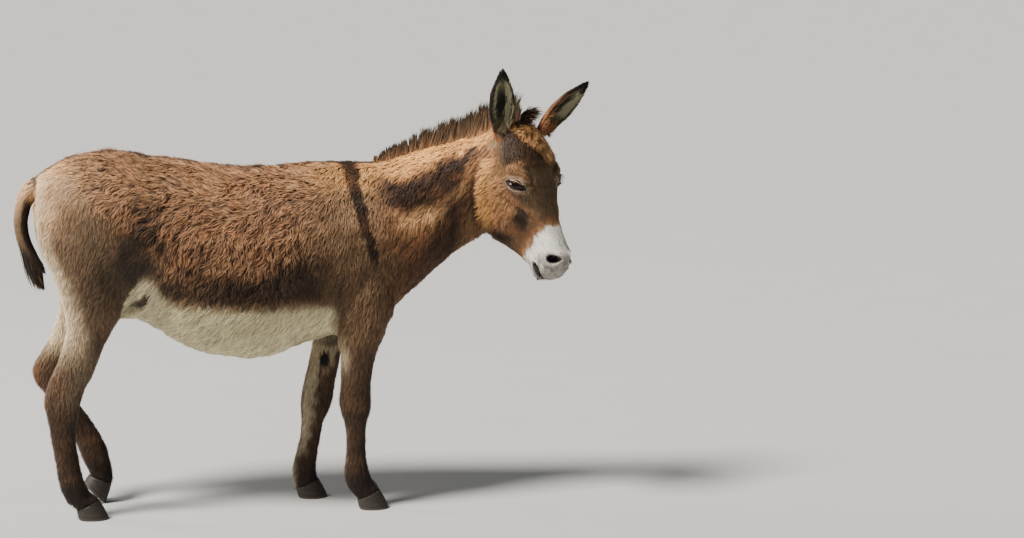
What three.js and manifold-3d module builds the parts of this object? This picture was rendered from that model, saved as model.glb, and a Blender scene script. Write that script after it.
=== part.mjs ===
// Donkey, adult, standing with the head turned to its right. Life size, in millimetres.
// +Z is up, +X runs from the tail to the chest, +Y is the animal's left side.
import * as THREE from 'three';
import { mergeVertices } from 'three/addons/utils/BufferGeometryUtils.js';
import startManifold from 'manifold-3d';

const wasm = await startManifold();
wasm.setup();

// Distance between two flesh parts where they meet face to face.
const gap = 0.3;

// Points round one ring of each loft.
const bodyRing = 27;
const headRing = 26;
const legRing = 14;

// Where flesh parts meet: a point and a forward normal for the neck, in head coordinates for the head,
// and heights for the legs.
const neckPlane = { point: [575, 0, 870], normal: [0.995, 0, 0.1] };
const headCut = { point: [-45, 0, 0], normal: [0.8, 0, 0.6] };
const foreCut = 540;
const hindCut = 604;

// The nostrils: radii of the rim and of the hollow, and their turn on each side.
const nostril = {
  rim: [19, 34, 17],
  hollow: [12, 25, 15],
  turn: (side) => [side * -0.75, 0.35, side * 0.2],
};

// Pose of the head: its poll, its turn to the right and its nose-down angle in degrees.
const headPose = { poll: [979, -110, 1211], turn: -50, pitch: 64, roll: 1, scale: 0.98 };

// Eyes in head coordinates (x poll to nose, y left, z up from the face).
const eye = { x: 181, y: 87, z: -28, radius: 28, slant: -0.84 };

// ---------- small helpers ----------

// Repeatable random numbers from -1 to 1.
function seeded(seed) {
  let state = seed;
  return () => {
    state = (state * 1664525 + 1013904223) % 4294967296;
    return (state / 4294967296) * 2 - 1;
  };
}

function vector(values) {
  return new THREE.Vector3(values[0], values[1], values[2]);
}

function smoothRows(rows, steps) {
  const out = [];
  for (let i = 0; i < rows.length - 1; i += 1) {
    const before = rows[Math.max(i - 1, 0)];
    const from = rows[i];
    const to = rows[i + 1];
    const after = rows[Math.min(i + 2, rows.length - 1)];
    for (let k = 0; k < steps; k += 1) {
      const t = k / steps;
      out.push(from.map((value, j) => {
        const inward = 0.5 * (to[j] - before[j]);
        const outward = 0.5 * (after[j] - value);
        const bend = 3 * (to[j] - value) - 2 * inward - outward;
        const twist = 2 * (value - to[j]) + inward + outward;
        return value + t * (inward + t * (bend + t * twist));
      }));
    }
  }
  out.push(rows[rows.length - 1].slice());
  return out;
}

function loft(rings) {
  const count = rings[0].length;
  const positions = [];
  const index = [];
  for (const ring of rings) {
    for (const point of ring) {
      positions.push(point.x, point.y, point.z);
    }
  }
  for (let r = 0; r < rings.length - 1; r += 1) {
    for (let i = 0; i < count; i += 1) {
      const a = r * count + i;
      const b = r * count + ((i + 1) % count);
      index.push(a, b, b + count, a, b + count, a + count);
    }
  }
  const ends = [rings[0], rings[rings.length - 1]];
  ends.forEach((ring, end) => {
    const middle = new THREE.Vector3();
    ring.forEach((point) => middle.add(point));
    middle.divideScalar(count);
    const hub = positions.length / 3;
    const start = end === 0 ? 0 : (rings.length - 1) * count;
    positions.push(middle.x, middle.y, middle.z);
    for (let i = 0; i < count; i += 1) {
      const a = start + i;
      const b = start + ((i + 1) % count);
      if (end === 0) {
        index.push(hub, b, a);
      } else {
        index.push(hub, a, b);
      }
    }
  });
  const geometry = new THREE.BufferGeometry();
  geometry.setAttribute('position', new THREE.Float32BufferAttribute(positions, 3));
  geometry.setIndex(index);
  return geometry;
}

// A tube along rows of x, y, z, half width (across the axis given) and half thickness.
function tube(rows, axis, sides) {
  const points = rows.map((row) => vector(row));
  const rings = rows.map((row, i) => {
    const before = points[Math.max(i - 1, 0)];
    const after = points[Math.min(i + 1, points.length - 1)];
    const run = after.clone().sub(before).normalize();
    const thick = new THREE.Vector3().crossVectors(axis, run).normalize();
    const wide = new THREE.Vector3().crossVectors(run, thick);
    const ring = [];
    for (let k = 0; k < sides; k += 1) {
      const round = (2 * Math.PI * k) / sides;
      const point = points[i].clone().addScaledVector(wide, Math.cos(round) * row[3]);
      ring.push(point.addScaledVector(thick, Math.sin(round) * row[4]));
    }
    return ring;
  });
  return loft(rings);
}

function toSolid(geometry) {
  const plain = geometry.clone();
  plain.deleteAttribute('normal');
  plain.deleteAttribute('uv');
  const welded = mergeVertices(plain, 1e-4);
  const mesh = new wasm.Mesh({
    numProp: 3,
    vertProperties: new Float32Array(welded.attributes.position.array),
    triVerts: new Uint32Array(welded.index.array),
  });
  const solid = new wasm.Manifold(mesh);
  if (solid.volume() > 0) {
    return solid;
  }
  const turned = new Uint32Array(welded.index.array);
  for (let i = 0; i < turned.length; i += 3) {
    const keep = turned[i];
    turned[i] = turned[i + 1];
    turned[i + 1] = keep;
  }
  return new wasm.Manifold(new wasm.Mesh({
    numProp: 3,
    vertProperties: new Float32Array(welded.attributes.position.array),
    triVerts: turned,
  }));
}

function largest(solid) {
  const pieces = solid.decompose();
  return pieces.reduce((best, piece) => (piece.volume() > best.volume() ? piece : best));
}

function join(solids) {
  return solids.reduce((whole, solid) => whole.add(solid));
}

// The half of a solid ahead of a plane (side 1) or behind it (side -1), with its share of the gap.
function half(solid, plane, side) {
  const normal = vector(plane.normal).normalize();
  const offset = normal.dot(vector(plane.point));
  const direction = normal.multiplyScalar(side);
  return solid.trimByPlane([direction.x, direction.y, direction.z], side * offset + gap / 2);
}

function toMesh(solid, name, colour, roughness) {
  const mesh = largest(solid.simplify(0.25)).getMesh();
  const geometry = new THREE.BufferGeometry();
  geometry.setAttribute('position', new THREE.Float32BufferAttribute(mesh.vertProperties, 3));
  geometry.setIndex(Array.from(mesh.triVerts));
  geometry.computeVertexNormals();
  const material = new THREE.MeshStandardMaterial({ color: colour, roughness, flatShading: true });
  const object = new THREE.Mesh(geometry, material);
  object.name = name;
  return object;
}

function ellipsoid(centre, radii, turn, detail) {
  const geometry = new THREE.SphereGeometry(1, detail, Math.round(detail * 0.6));
  geometry.scale(radii[0], radii[1], radii[2]);
  const rotation = new THREE.Matrix4().makeRotationFromEuler(new THREE.Euler(...turn));
  geometry.applyMatrix4(rotation);
  geometry.translate(centre[0], centre[1], centre[2]);
  return geometry;
}

function signedPower(value, power) {
  return Math.sign(value) * Math.abs(value) ** power;
}

// ---------- trunk and neck ----------

// Each row: top x, top z, under x, under z, half width, height share of the widest level,
// squareness above it, squareness below it, sideways shift, turn in degrees.
const trunkRows = [
  [-538, 1050, -541, 880, 46, 0.50, 2.0, 2.0, 0, 0],
  [-524, 1080, -524, 828, 98, 0.52, 2.0, 2.0, 0, 0],
  [-492, 1102, -498, 775, 138, 0.56, 2.0, 2.0, 0, 0],
  [-442, 1124, -468, 700, 168, 0.60, 2.0, 2.0, 0, 0],
  [-380, 1139, -415, 645, 188, 0.60, 2.0, 2.0, 0, 0],
  [-310, 1149, -330, 616, 202, 0.57, 2.1, 2.0, 0, 0],
  [-240, 1143, -250, 618, 213, 0.52, 2.1, 2.1, 0, 0],
  [-175, 1129, -185, 598, 223, 0.50, 2.1, 2.2, 0, 0],
  [-100, 1122, -105, 544, 232, 0.47, 2.1, 2.3, 0, 0],
  [-20, 1106, -20, 506, 238, 0.45, 2.1, 2.4, 0, 0],
  [60, 1094, 60, 490, 240, 0.44, 2.1, 2.4, 0, 0],
  [140, 1090, 140, 487, 237, 0.44, 2.1, 2.4, 0, 0],
  [220, 1092, 220, 500, 229, 0.45, 2.1, 2.3, 0, 0],
  [300, 1100, 292, 525, 214, 0.47, 2.0, 2.2, 0, 0],
  [380, 1103, 378, 546, 196, 0.49, 1.9, 2.2, 0, 0],
  [450, 1101, 462, 562, 180, 0.50, 1.9, 2.2, 0, 0],
  [518, 1101, 540, 588, 165, 0.50, 1.9, 2.1, 0, 0],
  [590, 1113, 596, 640, 147, 0.50, 2.0, 2.1, -2, -3],
  [655, 1133, 652, 692, 129, 0.50, 2.0, 2.0, -7, -7],
  [718, 1149, 708, 742, 113, 0.50, 2.0, 2.0, -16, -12],
  [778, 1164, 760, 790, 100, 0.50, 2.0, 2.0, -30, -17],
  [836, 1182, 808, 830, 90, 0.52, 2.0, 2.0, -49, -22],
  [890, 1200, 846, 858, 82, 0.54, 2.0, 2.0, -70, -27],
  [934, 1211, 876, 880, 76, 0.56, 2.0, 2.0, -92, -31],
  [958, 1196, 905, 905, 60, 0.60, 2.0, 2.0, -104, -34],
];

function bodySection(row, grow) {
  const [topX, topZ, underX, underZ, width, widest, above, below, shift, turn] = row;
  const angle = THREE.MathUtils.degToRad(turn);
  const side = new THREE.Vector3(-Math.sin(angle), Math.cos(angle), 0);
  const top = new THREE.Vector3(topX, shift, topZ + grow);
  const under = new THREE.Vector3(underX, shift * 0.75, underZ - grow);
  const middle = under.clone().lerp(top, widest);
  const ring = [];
  for (let i = 0; i < bodyRing; i += 1) {
    const round = (2 * Math.PI * i) / bodyRing;
    const power = 2 / (Math.sin(round) >= 0 ? above : below);
    const out = signedPower(Math.cos(round), power) * (width + grow);
    const rise = Math.abs(Math.sin(round)) ** power;
    const goal = Math.sin(round) >= 0 ? top : under;
    ring.push(middle.clone().lerp(goal, rise).addScaledVector(side, out));
  }
  return ring;
}

function trunkAndNeck(grow) {
  return toSolid(loft(smoothRows(trunkRows, 2).map((row) => bodySection(row, grow))));
}

// ---------- hooves and legs ----------

// A hoof in its own frame: sole on z = 0, toe towards +x, and the slanted plane of the coronet.
const hoofShape = { toe: 47, heel: 44, halfWidth: 39, topBack: -19, topHeight: 47, tilt: 24 };

function hoofRing(hoof, level, grow, lift) {
  const ring = [];
  const tilt = THREE.MathUtils.degToRad(hoofShape.tilt) * level;
  const length = (hoofShape.toe * (1 - level) + 37 * level + grow) * hoof.size;
  const width = (hoofShape.halfWidth * (1 - level) + 31 * level + grow) * hoof.size;
  for (let i = 0; i < legRing; i += 1) {
    const round = (2 * Math.PI * i) / legRing;
    const square = Math.cos(round) < 0 ? 0.8 : 1;
    const along = signedPower(Math.cos(round), square) * length;
    const across = signedPower(Math.sin(round), square) * width;
    ring.push(new THREE.Vector3(
      hoofShape.topBack * level * hoof.size + along * Math.cos(tilt) - lift * Math.sin(tilt),
      across,
      hoofShape.topHeight * level * hoof.size + along * Math.sin(tilt) + lift * Math.cos(tilt),
    ));
  }
  const rotation = new THREE.Matrix4().makeRotationY(THREE.MathUtils.degToRad(hoof.tip));
  return ring.map((point) => point.applyMatrix4(rotation).add(vector(hoof.place)));
}

function hoofSolid(hoof) {
  const rings = [
    hoofRing(hoof, 0, -2, 0),
    hoofRing(hoof, 0, 0, 3),
    hoofRing(hoof, 0.55, 1.5, 0),
    hoofRing(hoof, 0.93, 1.5, 0),
    hoofRing(hoof, 1, 0.5, 0),
  ];
  return toSolid(loft(rings)).trimByPlane([0, 0, 1], 0);
}

// Each row of a leg: height, back x, front x, half width, sideways centre, tilt in degrees.
function legSection(row) {
  const [height, back, front, width, side, tilt] = row;
  const angle = THREE.MathUtils.degToRad(tilt);
  const ring = [];
  for (let i = 0; i < legRing; i += 1) {
    const round = (2 * Math.PI * i) / legRing;
    const along = signedPower(Math.cos(round), 0.9) * (front - back) * 0.5;
    const across = signedPower(Math.sin(round), 0.9) * width;
    ring.push(new THREE.Vector3(
      (front + back) * 0.5 + along * Math.cos(angle),
      side + across,
      height + along * Math.sin(angle),
    ));
  }
  return ring;
}

// The horny pads on the inner side of the upper forelegs: their places and radii.
const chestnuts = {
  foreleg_right: [432, -70, 436],
  foreleg_left: [366, 57, 462],
};

function legSolid(rows, hoof) {
  const rings = smoothRows(rows, 1).map(legSection);
  rings.push(hoofRing(hoof, 1, 0, 10));
  rings.push(hoofRing(hoof, 1, 0, gap));
  return toSolid(loft(rings));
}

const legs = {
  foreleg_right: {
    cut: foreCut,
    hoof: { place: [506, -105, 0], tip: 0, size: 1 },
    rows: [
      [860, 430, 520, 40, -98, 0],
      [790, 405, 560, 62, -104, 0],
      [700, 392, 582, 68, -107, 0],
      [625, 386, 574, 63, -109, 0],
      [575, 387, 556, 56, -110, 0],
      [541, 391, 537, 51, -109, 0],
      [512, 400, 521, 48, -108, 0],
      [470, 403, 508, 45, -107, 0],
      [416, 402, 499, 41, -106, 0],
      [384, 399, 496, 38, -105, 0],
      [352, 397, 497, 38, -105, 0],
      [320, 401, 495, 37, -105, 0],
      [287, 413, 484, 33, -105, 0],
      [250, 419, 478, 28, -105, 0],
      [200, 420, 478, 26, -105, 0],
      [157, 416, 480, 28, -105, 0],
      [125, 413, 486, 32, -105, 3],
      [98, 413, 493, 33, -105, 10],
      [76, 426, 505, 31, -105, 18],
    ],
  },
  foreleg_left: {
    cut: foreCut,
    hoof: { place: [329, 84, 0], tip: 0, size: 1 },
    rows: [
      [860, 430, 520, 40, 98, 0],
      [790, 405, 550, 62, 104, 0],
      [700, 390, 565, 68, 106, 0],
      [625, 370, 535, 63, 107, 0],
      [575, 356, 497, 56, 106, 0],
      [541, 346, 469, 51, 104, 0],
      [512, 336, 447, 48, 101, 0],
      [470, 325, 426, 45, 97, 0],
      [416, 313, 413, 41, 93, 0],
      [384, 304, 406, 38, 90, 0],
      [352, 298, 399, 38, 88, 0],
      [320, 294, 393, 37, 87, 0],
      [287, 294, 382, 33, 86, 0],
      [250, 295, 363, 28, 85, 0],
      [200, 290, 353, 26, 85, 0],
      [157, 279, 344, 28, 84, 0],
      [125, 267, 339, 32, 84, 4],
      [98, 261, 338, 33, 84, 12],
      [74, 264, 341, 31, 84, 20],
    ],
  },
  hindleg_right: {
    cut: hindCut,
    hoof: { place: [-379, -118, 0], tip: 0, size: 1 },
    rows: [
      [1010, -490, -380, 34, -96, 0],
      [950, -531, -320, 64, -103, 0],
      [880, -529, -285, 78, -108, 0],
      [800, -500, -266, 82, -110, 0],
      [735, -481, -262, 76, -112, 0],
      [690, -469, -264, 68, -114, 0],
      [645, -459, -281, 59, -116, 0],
      [603, -455, -307, 53, -117, 0],
      [560, -461, -332, 48, -118, 0],
      [508, -479, -354, 43, -119, 0],
      [460, -502, -374, 40, -120, 0],
      [415, -521, -398, 38, -120, 0],
      [378, -528, -412, 38, -120, 0],
      [345, -521, -420, 35, -119, 0],
      [300, -512, -430, 30, -119, 0],
      [245, -504, -432, 28, -118, 0],
      [180, -493, -422, 28, -118, 0],
      [128, -486, -412, 32, -118, 4],
      [98, -478, -402, 33, -118, 12],
      [72, -464, -390, 31, -118, 20],
    ],
  },
  hindleg_left: {
    cut: hindCut,
    hoof: { place: [-371, 112, 31], tip: 45, size: 1 },
    rows: [
      [1010, -490, -380, 34, 96, 0],
      [950, -531, -320, 64, 103, 0],
      [880, -529, -285, 78, 108, 0],
      [800, -500, -270, 82, 110, 0],
      [735, -485, -268, 76, 112, 0],
      [690, -478, -276, 68, 113, 0],
      [645, -474, -300, 59, 114, 0],
      [603, -480, -330, 53, 115, 0],
      [560, -494, -358, 48, 115, 0],
      [515, -517, -388, 43, 115, 0],
      [470, -547, -420, 40, 115, 0],
      [435, -561, -441, 38, 115, 0],
      [402, -553, -450, 38, 115, 0],
      [369, -526, -443, 35, 114, 0],
      [320, -497, -414, 31, 114, 0],
      [273, -467, -381, 29, 113, 0],
      [223, -437, -350, 28, 113, 0],
      [180, -419, -331, 30, 112, 0],
      [145, -407, -323, 32, 112, 0],
      [118, -396, -315, 32, 112, -8],
    ],
  },
};

// ---------- head ----------

// Each row: x from the poll, z of the face, z of the jaw, half width, height share of the widest
// level, squareness above it, squareness below it.
const headRows = [
  [-42, -36, -150, 48, 0.60, 2.0, 2.0],
  [-20, 0, -190, 68, 0.62, 2.0, 2.0],
  [10, 26, -225, 84, 0.66, 2.1, 2.1],
  [50, 37, -254, 97, 0.70, 2.2, 2.3],
  [95, 39, -272, 107, 0.74, 2.4, 2.5],
  [135, 34, -281, 111, 0.77, 2.5, 2.6],
  [170, 23, -282, 109, 0.79, 2.5, 2.6],
  [205, 11, -280, 100, 0.80, 2.5, 2.6],
  [245, 1, -274, 87, 0.78, 2.5, 2.5],
  [285, -5, -257, 76, 0.76, 2.4, 2.4],
  [323, -9, -228, 67, 0.74, 2.4, 2.3],
  [361, -10, -192, 62, 0.70, 2.3, 2.3],
  [394, -9, -166, 63, 0.64, 2.3, 2.3],
  [423, -8, -156, 66, 0.58, 2.3, 2.3],
  [447, -13, -153, 67, 0.54, 2.3, 2.3],
  [467, -27, -148, 62, 0.52, 2.3, 2.3],
  [481, -49, -138, 49, 0.50, 2.2, 2.2],
  [489, -78, -120, 26, 0.50, 2.0, 2.0],
];

function headMatrix() {
  const turn = new THREE.Matrix4().makeRotationZ(THREE.MathUtils.degToRad(headPose.turn));
  const pitch = new THREE.Matrix4().makeRotationY(THREE.MathUtils.degToRad(headPose.pitch));
  const roll = new THREE.Matrix4().makeRotationX(THREE.MathUtils.degToRad(headPose.roll));
  const matrix = new THREE.Matrix4().makeTranslation(...headPose.poll);
  matrix.multiply(turn).multiply(pitch).multiply(roll);
  return matrix.scale(new THREE.Vector3(headPose.scale, headPose.scale, headPose.scale));
}

function headSection(row, grow) {
  const [x, top, under, width, widest, above, below] = row;
  const high = top + grow;
  const low = under - grow;
  const middle = low + (high - low) * widest;
  const ring = [];
  for (let i = 0; i < headRing; i += 1) {
    const round = (2 * Math.PI * i) / headRing;
    const power = 2 / (Math.sin(round) >= 0 ? above : below);
    const out = signedPower(Math.cos(round), power) * (width + grow);
    const rise = Math.abs(Math.sin(round)) ** power;
    const goal = Math.sin(round) >= 0 ? high : low;
    const along = x + Math.sign(x - 100) * grow;
    ring.push(new THREE.Vector3(along, out, middle + (goal - middle) * rise));
  }
  return ring;
}

// The frame of an eye: along its slit towards the nose, up across the lids, and outwards.
function eyeFrame(side) {
  const out = new THREE.Vector3(0.16, side * 0.86, 0.48).normalize();
  const long = new THREE.Vector3(Math.cos(eye.slant), 0, -Math.sin(eye.slant));
  long.addScaledVector(out, -long.dot(out)).normalize();
  const high = new THREE.Vector3().crossVectors(long, out).multiplyScalar(side);
  const frame = new THREE.Matrix4().makeBasis(long, high, out);
  return frame.setPosition(eye.x, side * eye.y, eye.z);
}

function headShape(grow) {
  const parts = [toSolid(loft(smoothRows(headRows, 2).map((row) => headSection(row, grow))))];
  const bulge = (centre, radii, turn, detail) => {
    const grown = radii.map((radius) => radius + grow);
    parts.push(toSolid(ellipsoid(centre, grown, turn, detail)));
  };
  for (const side of [-1, 1]) {
    bulge([128, side * 56, -158], [100, 34, 92], [0, 0.5, 0], 16);
    bulge([258, side * 62, -92], [80, 17, 20], [0, 0.14, side * -0.14], 12);
    bulge([26, side * 56, -28], [34, 26, 40], [side * 0.3, 0, 0], 12);
    bulge([437, side * 34, -30], nostril.rim, nostril.turn(side), 14);
    // The mound of the eyelids and the brow arch above it.
    const frame = eyeFrame(side);
    const lids = ellipsoid([0, 0, 0], [42 + grow, 31 + grow, 30.5 + grow], [0, 0, 0], 16);
    const brow = ellipsoid([-5, 27, -3], [42 + grow, 16 + grow, 20 + grow], [0, 0, -0.12], 12);
    parts.push(toSolid(lids.applyMatrix4(frame)), toSolid(brow.applyMatrix4(frame)));
  }
  // Chin and lower lip.
  bulge([432, 0, -139], [40, 42, 18], [0, 0.08, 0], 14);
  return join(parts);
}

// The almond between the eyelids, cut from the eyeball outwards.
function lidOpening(side) {
  const ring = (depth, scale) => {
    const points = [];
    for (let i = 0; i < 18; i += 1) {
      const round = (2 * Math.PI * i) / 18;
      const narrow = 1 - 0.35 * Math.abs(Math.cos(round)) ** 3;
      const across = Math.sin(round) * (Math.sin(round) > 0 ? 14 : 12) * narrow * scale;
      points.push(new THREE.Vector3(Math.cos(round) * 26 * scale, across, depth));
    }
    return points;
  };
  return toSolid(loft([ring(6, 0.96), ring(24, 1), ring(46, 1.25)]).applyMatrix4(eyeFrame(side)));
}

// The line between the lips, widening towards the front of the mouth.
const mouthRows = [
  [398, -120, 0.4], [412, -119, 1.2], [432, -117, 1.8], [452, -115, 2.4], [466, -116, 4.5], [478, -123, 13],
  [488, -134, 26], [505, -160, 54],
];

function mouthCut() {
  const rings = mouthRows.map(([x, z, open]) => [
    new THREE.Vector3(x, -80, z - open),
    new THREE.Vector3(x, 80, z - open),
    new THREE.Vector3(x, 80, z + open),
    new THREE.Vector3(x, -80, z + open),
  ]);
  return toSolid(loft(rings));
}

function headHollows() {
  const hollows = [mouthCut()];
  for (const side of [-1, 1]) {
    const room = eye.radius + gap / headPose.scale;
    hollows.push(toSolid(ellipsoid([eye.x, side * eye.y, eye.z], [room, room, room], [0, 0, 0], 16)));
    hollows.push(lidOpening(side));
    hollows.push(toSolid(ellipsoid([445, side * 41, -23], nostril.hollow, nostril.turn(side), 12)));
  }
  return join(hollows);
}

// ---------- ears ----------

// Root in head coordinates; the way the ear points and the way its opening faces, in the body's.
const ears = {
  ear_right: { place: [24, -75, -32], aim: [-0.02, -0.13, 0.99], face: [0.2, -0.97, 0] },
  ear_left: { place: [34, 79, -8], aim: [0.66, 0.03, 0.745], face: [0.3, -0.9, -0.3] },
};
const earLength = 226;

// Rows of an ear: share of its length, half width, bulge of its back, and the bulge (positive) or
// hollow (negative) of its front.
const earRows = [
  [-0.12, 16, 16, 13], [0, 19, 19, 11], [0.06, 22.5, 21, 3], [0.12, 27.5, 24, -9], [0.20, 33, 27, -17],
  [0.30, 38, 28, -23], [0.42, 41.5, 27, -23], [0.52, 42, 25, -21], [0.62, 39, 22, -18.5],
  [0.72, 33, 19, -15.5], [0.80, 26.5, 16, -12.5], [0.88, 18.5, 12, -8.5], [0.95, 10.5, 8, -4.5],
  [1, 3.5, 4, 0],
];

function earFrame(ear, matrix) {
  const up = vector(ear.aim).normalize();
  const face = vector(ear.face);
  face.addScaledVector(up, -face.dot(up)).normalize();
  const side = new THREE.Vector3().crossVectors(up, face);
  const frame = new THREE.Matrix4().makeBasis(face, side, up);
  return frame.setPosition(vector(ear.place).applyMatrix4(matrix));
}

function earSolid(grow, filled) {
  const steps = 9;
  const rings = earRows.map(([share, wide, back, front]) => {
    const ring = [];
    const lean = 10 * share * share;
    const height = share * earLength + (share > 0 ? grow : -grow);
    const rim = filled ? 0 : Math.min(4, wide * 0.25);
    for (let i = 0; i < steps; i += 1) {
      const round = Math.PI * (i / (steps - 1) - 0.5);
      ring.push(new THREE.Vector3(
        lean - (back + grow) * Math.cos(round),
        (wide + grow) * Math.sin(round),
        height,
      ));
    }
    for (let i = steps - 1; i >= 0; i -= 1) {
      const round = Math.PI * (i / (steps - 1) - 0.5);
      const bulge = filled ? Math.max(front, 0) + grow : front;
      ring.push(new THREE.Vector3(
        lean + 1.6 + bulge * Math.cos(round),
        (wide + grow - rim) * Math.sin(round),
        height,
      ));
    }
    return ring;
  });
  return toSolid(loft(rings));
}

// ---------- mane, forelock and tail ----------

// A flat tapered lock of hair: its root, the way it grows, the way it bends to, its sizes and the
// direction in which it is wide.
function lock(root, grow, bend, length, wide, thick, axis) {
  const stations = [[-0.12, 0.8], [0.25, 1], [0.72, 0.68], [1, 0.06]];
  const rows = stations.map(([share, size]) => {
    const curve = length * share * Math.abs(share) * 0.5;
    const point = root.clone().addScaledVector(grow, length * share).addScaledVector(bend, curve);
    return [point.x, point.y, point.z, wide * size, thick * size];
  });
  return toSolid(tube(rows, axis, 4));
}

// Rows of the mane: root x, y, z and the height of its edge.
const maneRows = [
  [520, 0, 1092, 8], [565, -1, 1100, 22], [610, -3, 1110, 40], [660, -7, 1125, 58],
  [720, -16, 1140, 72], [780, -30, 1156, 82], [840, -50, 1174, 99], [890, -70, 1190, 108],
  [932, -90, 1200, 106],
];

function maneRidge() {
  const rings = smoothRows(maneRows, 1).map(([x, y, z, height]) => [
    new THREE.Vector3(x, y - 15, z - 6),
    new THREE.Vector3(x, y + 15, z - 6),
    new THREE.Vector3(x + height * 0.05, y + 8, z + height * 0.46),
    new THREE.Vector3(x + height * 0.06, y, z + height * 0.56),
    new THREE.Vector3(x + height * 0.05, y - 8, z + height * 0.46),
  ]);
  return toSolid(loft(rings));
}

function maneSolid() {
  const random = seeded(21);
  const locks = [maneRidge()];
  smoothRows(maneRows, 3).forEach(([x, y, z, height]) => {
    for (const side of [-1, 1]) {
      const root = new THREE.Vector3(x + side * 4 + random() * 4, y + side * 9 + random() * 2, z + 2);
      const grow = new THREE.Vector3(0.10 + random() * 0.14, side * 0.05, 1).normalize();
      const bend = new THREE.Vector3(-0.1 + random() * 0.5, side * -0.15 + random() * 0.2, 0);
      const axis = new THREE.Vector3(1, -0.25 + random() * 0.35, 0.15).normalize();
      const length = (height + 3) * (0.92 + random() * 0.1);
      locks.push(lock(root, grow, bend, length, 13.5 + random() * 1.5, 6, axis));
    }
  });
  return join(locks);
}

// Path of the forelock in head coordinates: it stands between the ears and falls to the left.
function forelockSolid() {
  const random = seeded(5);
  const core = [[8, 0, -16, 20, 14], [-10, 4, 10, 22, 14], [-30, 12, 32, 16, 10], [-42, 24, 48, 5, 4]];
  const locks = [toSolid(tube(core, new THREE.Vector3(1, 0, 0.4), 6))];
  for (let i = 0; i < 10; i += 1) {
    const share = i / 9;
    const root = new THREE.Vector3(8 - 28 * share, -16 + 30 * share + random() * 5, -2 + 20 * share);
    const grow = new THREE.Vector3(-0.72 + random() * 0.12, 0.25 + random() * 0.25, 0.55 + random() * 0.12);
    const bend = new THREE.Vector3(0.55, 0.75 + random() * 0.2, 0.1);
    const axis = new THREE.Vector3(0.5, 0.7, 0.5 + random() * 0.3).normalize();
    locks.push(lock(root, grow.normalize(), bend.normalize(), 66 + random() * 14, 13, 6, axis));
  }
  return join(locks);
}

// Centre line of the tail from the root to the tip: x, y, z, half width and half thickness.
const tailRows = [
  [-520, 0, 1052, 26, 26], [-548, 0, 1030, 24, 24], [-568, 0, 1000, 21, 21], [-582, 0, 960, 19, 19],
  [-589, 0, 920, 18, 18], [-587, 0, 880, 17, 18], [-577, 0, 842, 15, 17], [-560, 0, 806, 10, 13],
  [-548, 0, 780, 4, 5],
];

function tailSolid() {
  const random = seeded(14);
  const locks = [toSolid(tube(tailRows, new THREE.Vector3(0, 1, 0), 10))];
  for (let i = 0; i < 12; i += 1) {
    const share = i / 11;
    const round = i * 2.4;
    const place = tailRows[4].map((value, k) => value + (tailRows[6][k] - value) * share);
    const root = new THREE.Vector3(
      place[0] + Math.cos(round) * 12,
      place[1] + Math.sin(round) * 11,
      place[2] + 6,
    );
    const grow = new THREE.Vector3(0.12 + share * 0.26, Math.sin(round) * 0.09, -1).normalize();
    const bend = new THREE.Vector3(0.9, -Math.sin(round) * 0.5, 0.1).normalize();
    const length = (place[2] - 706) * (0.96 - 0.16 * Math.abs(random()));
    const axis = new THREE.Vector3(-Math.sin(round), Math.cos(round), 0);
    locks.push(lock(root, grow, bend, length * 0.94, 13, 7, axis));
  }
  return join(locks);
}

// ---------- assembly ----------

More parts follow.
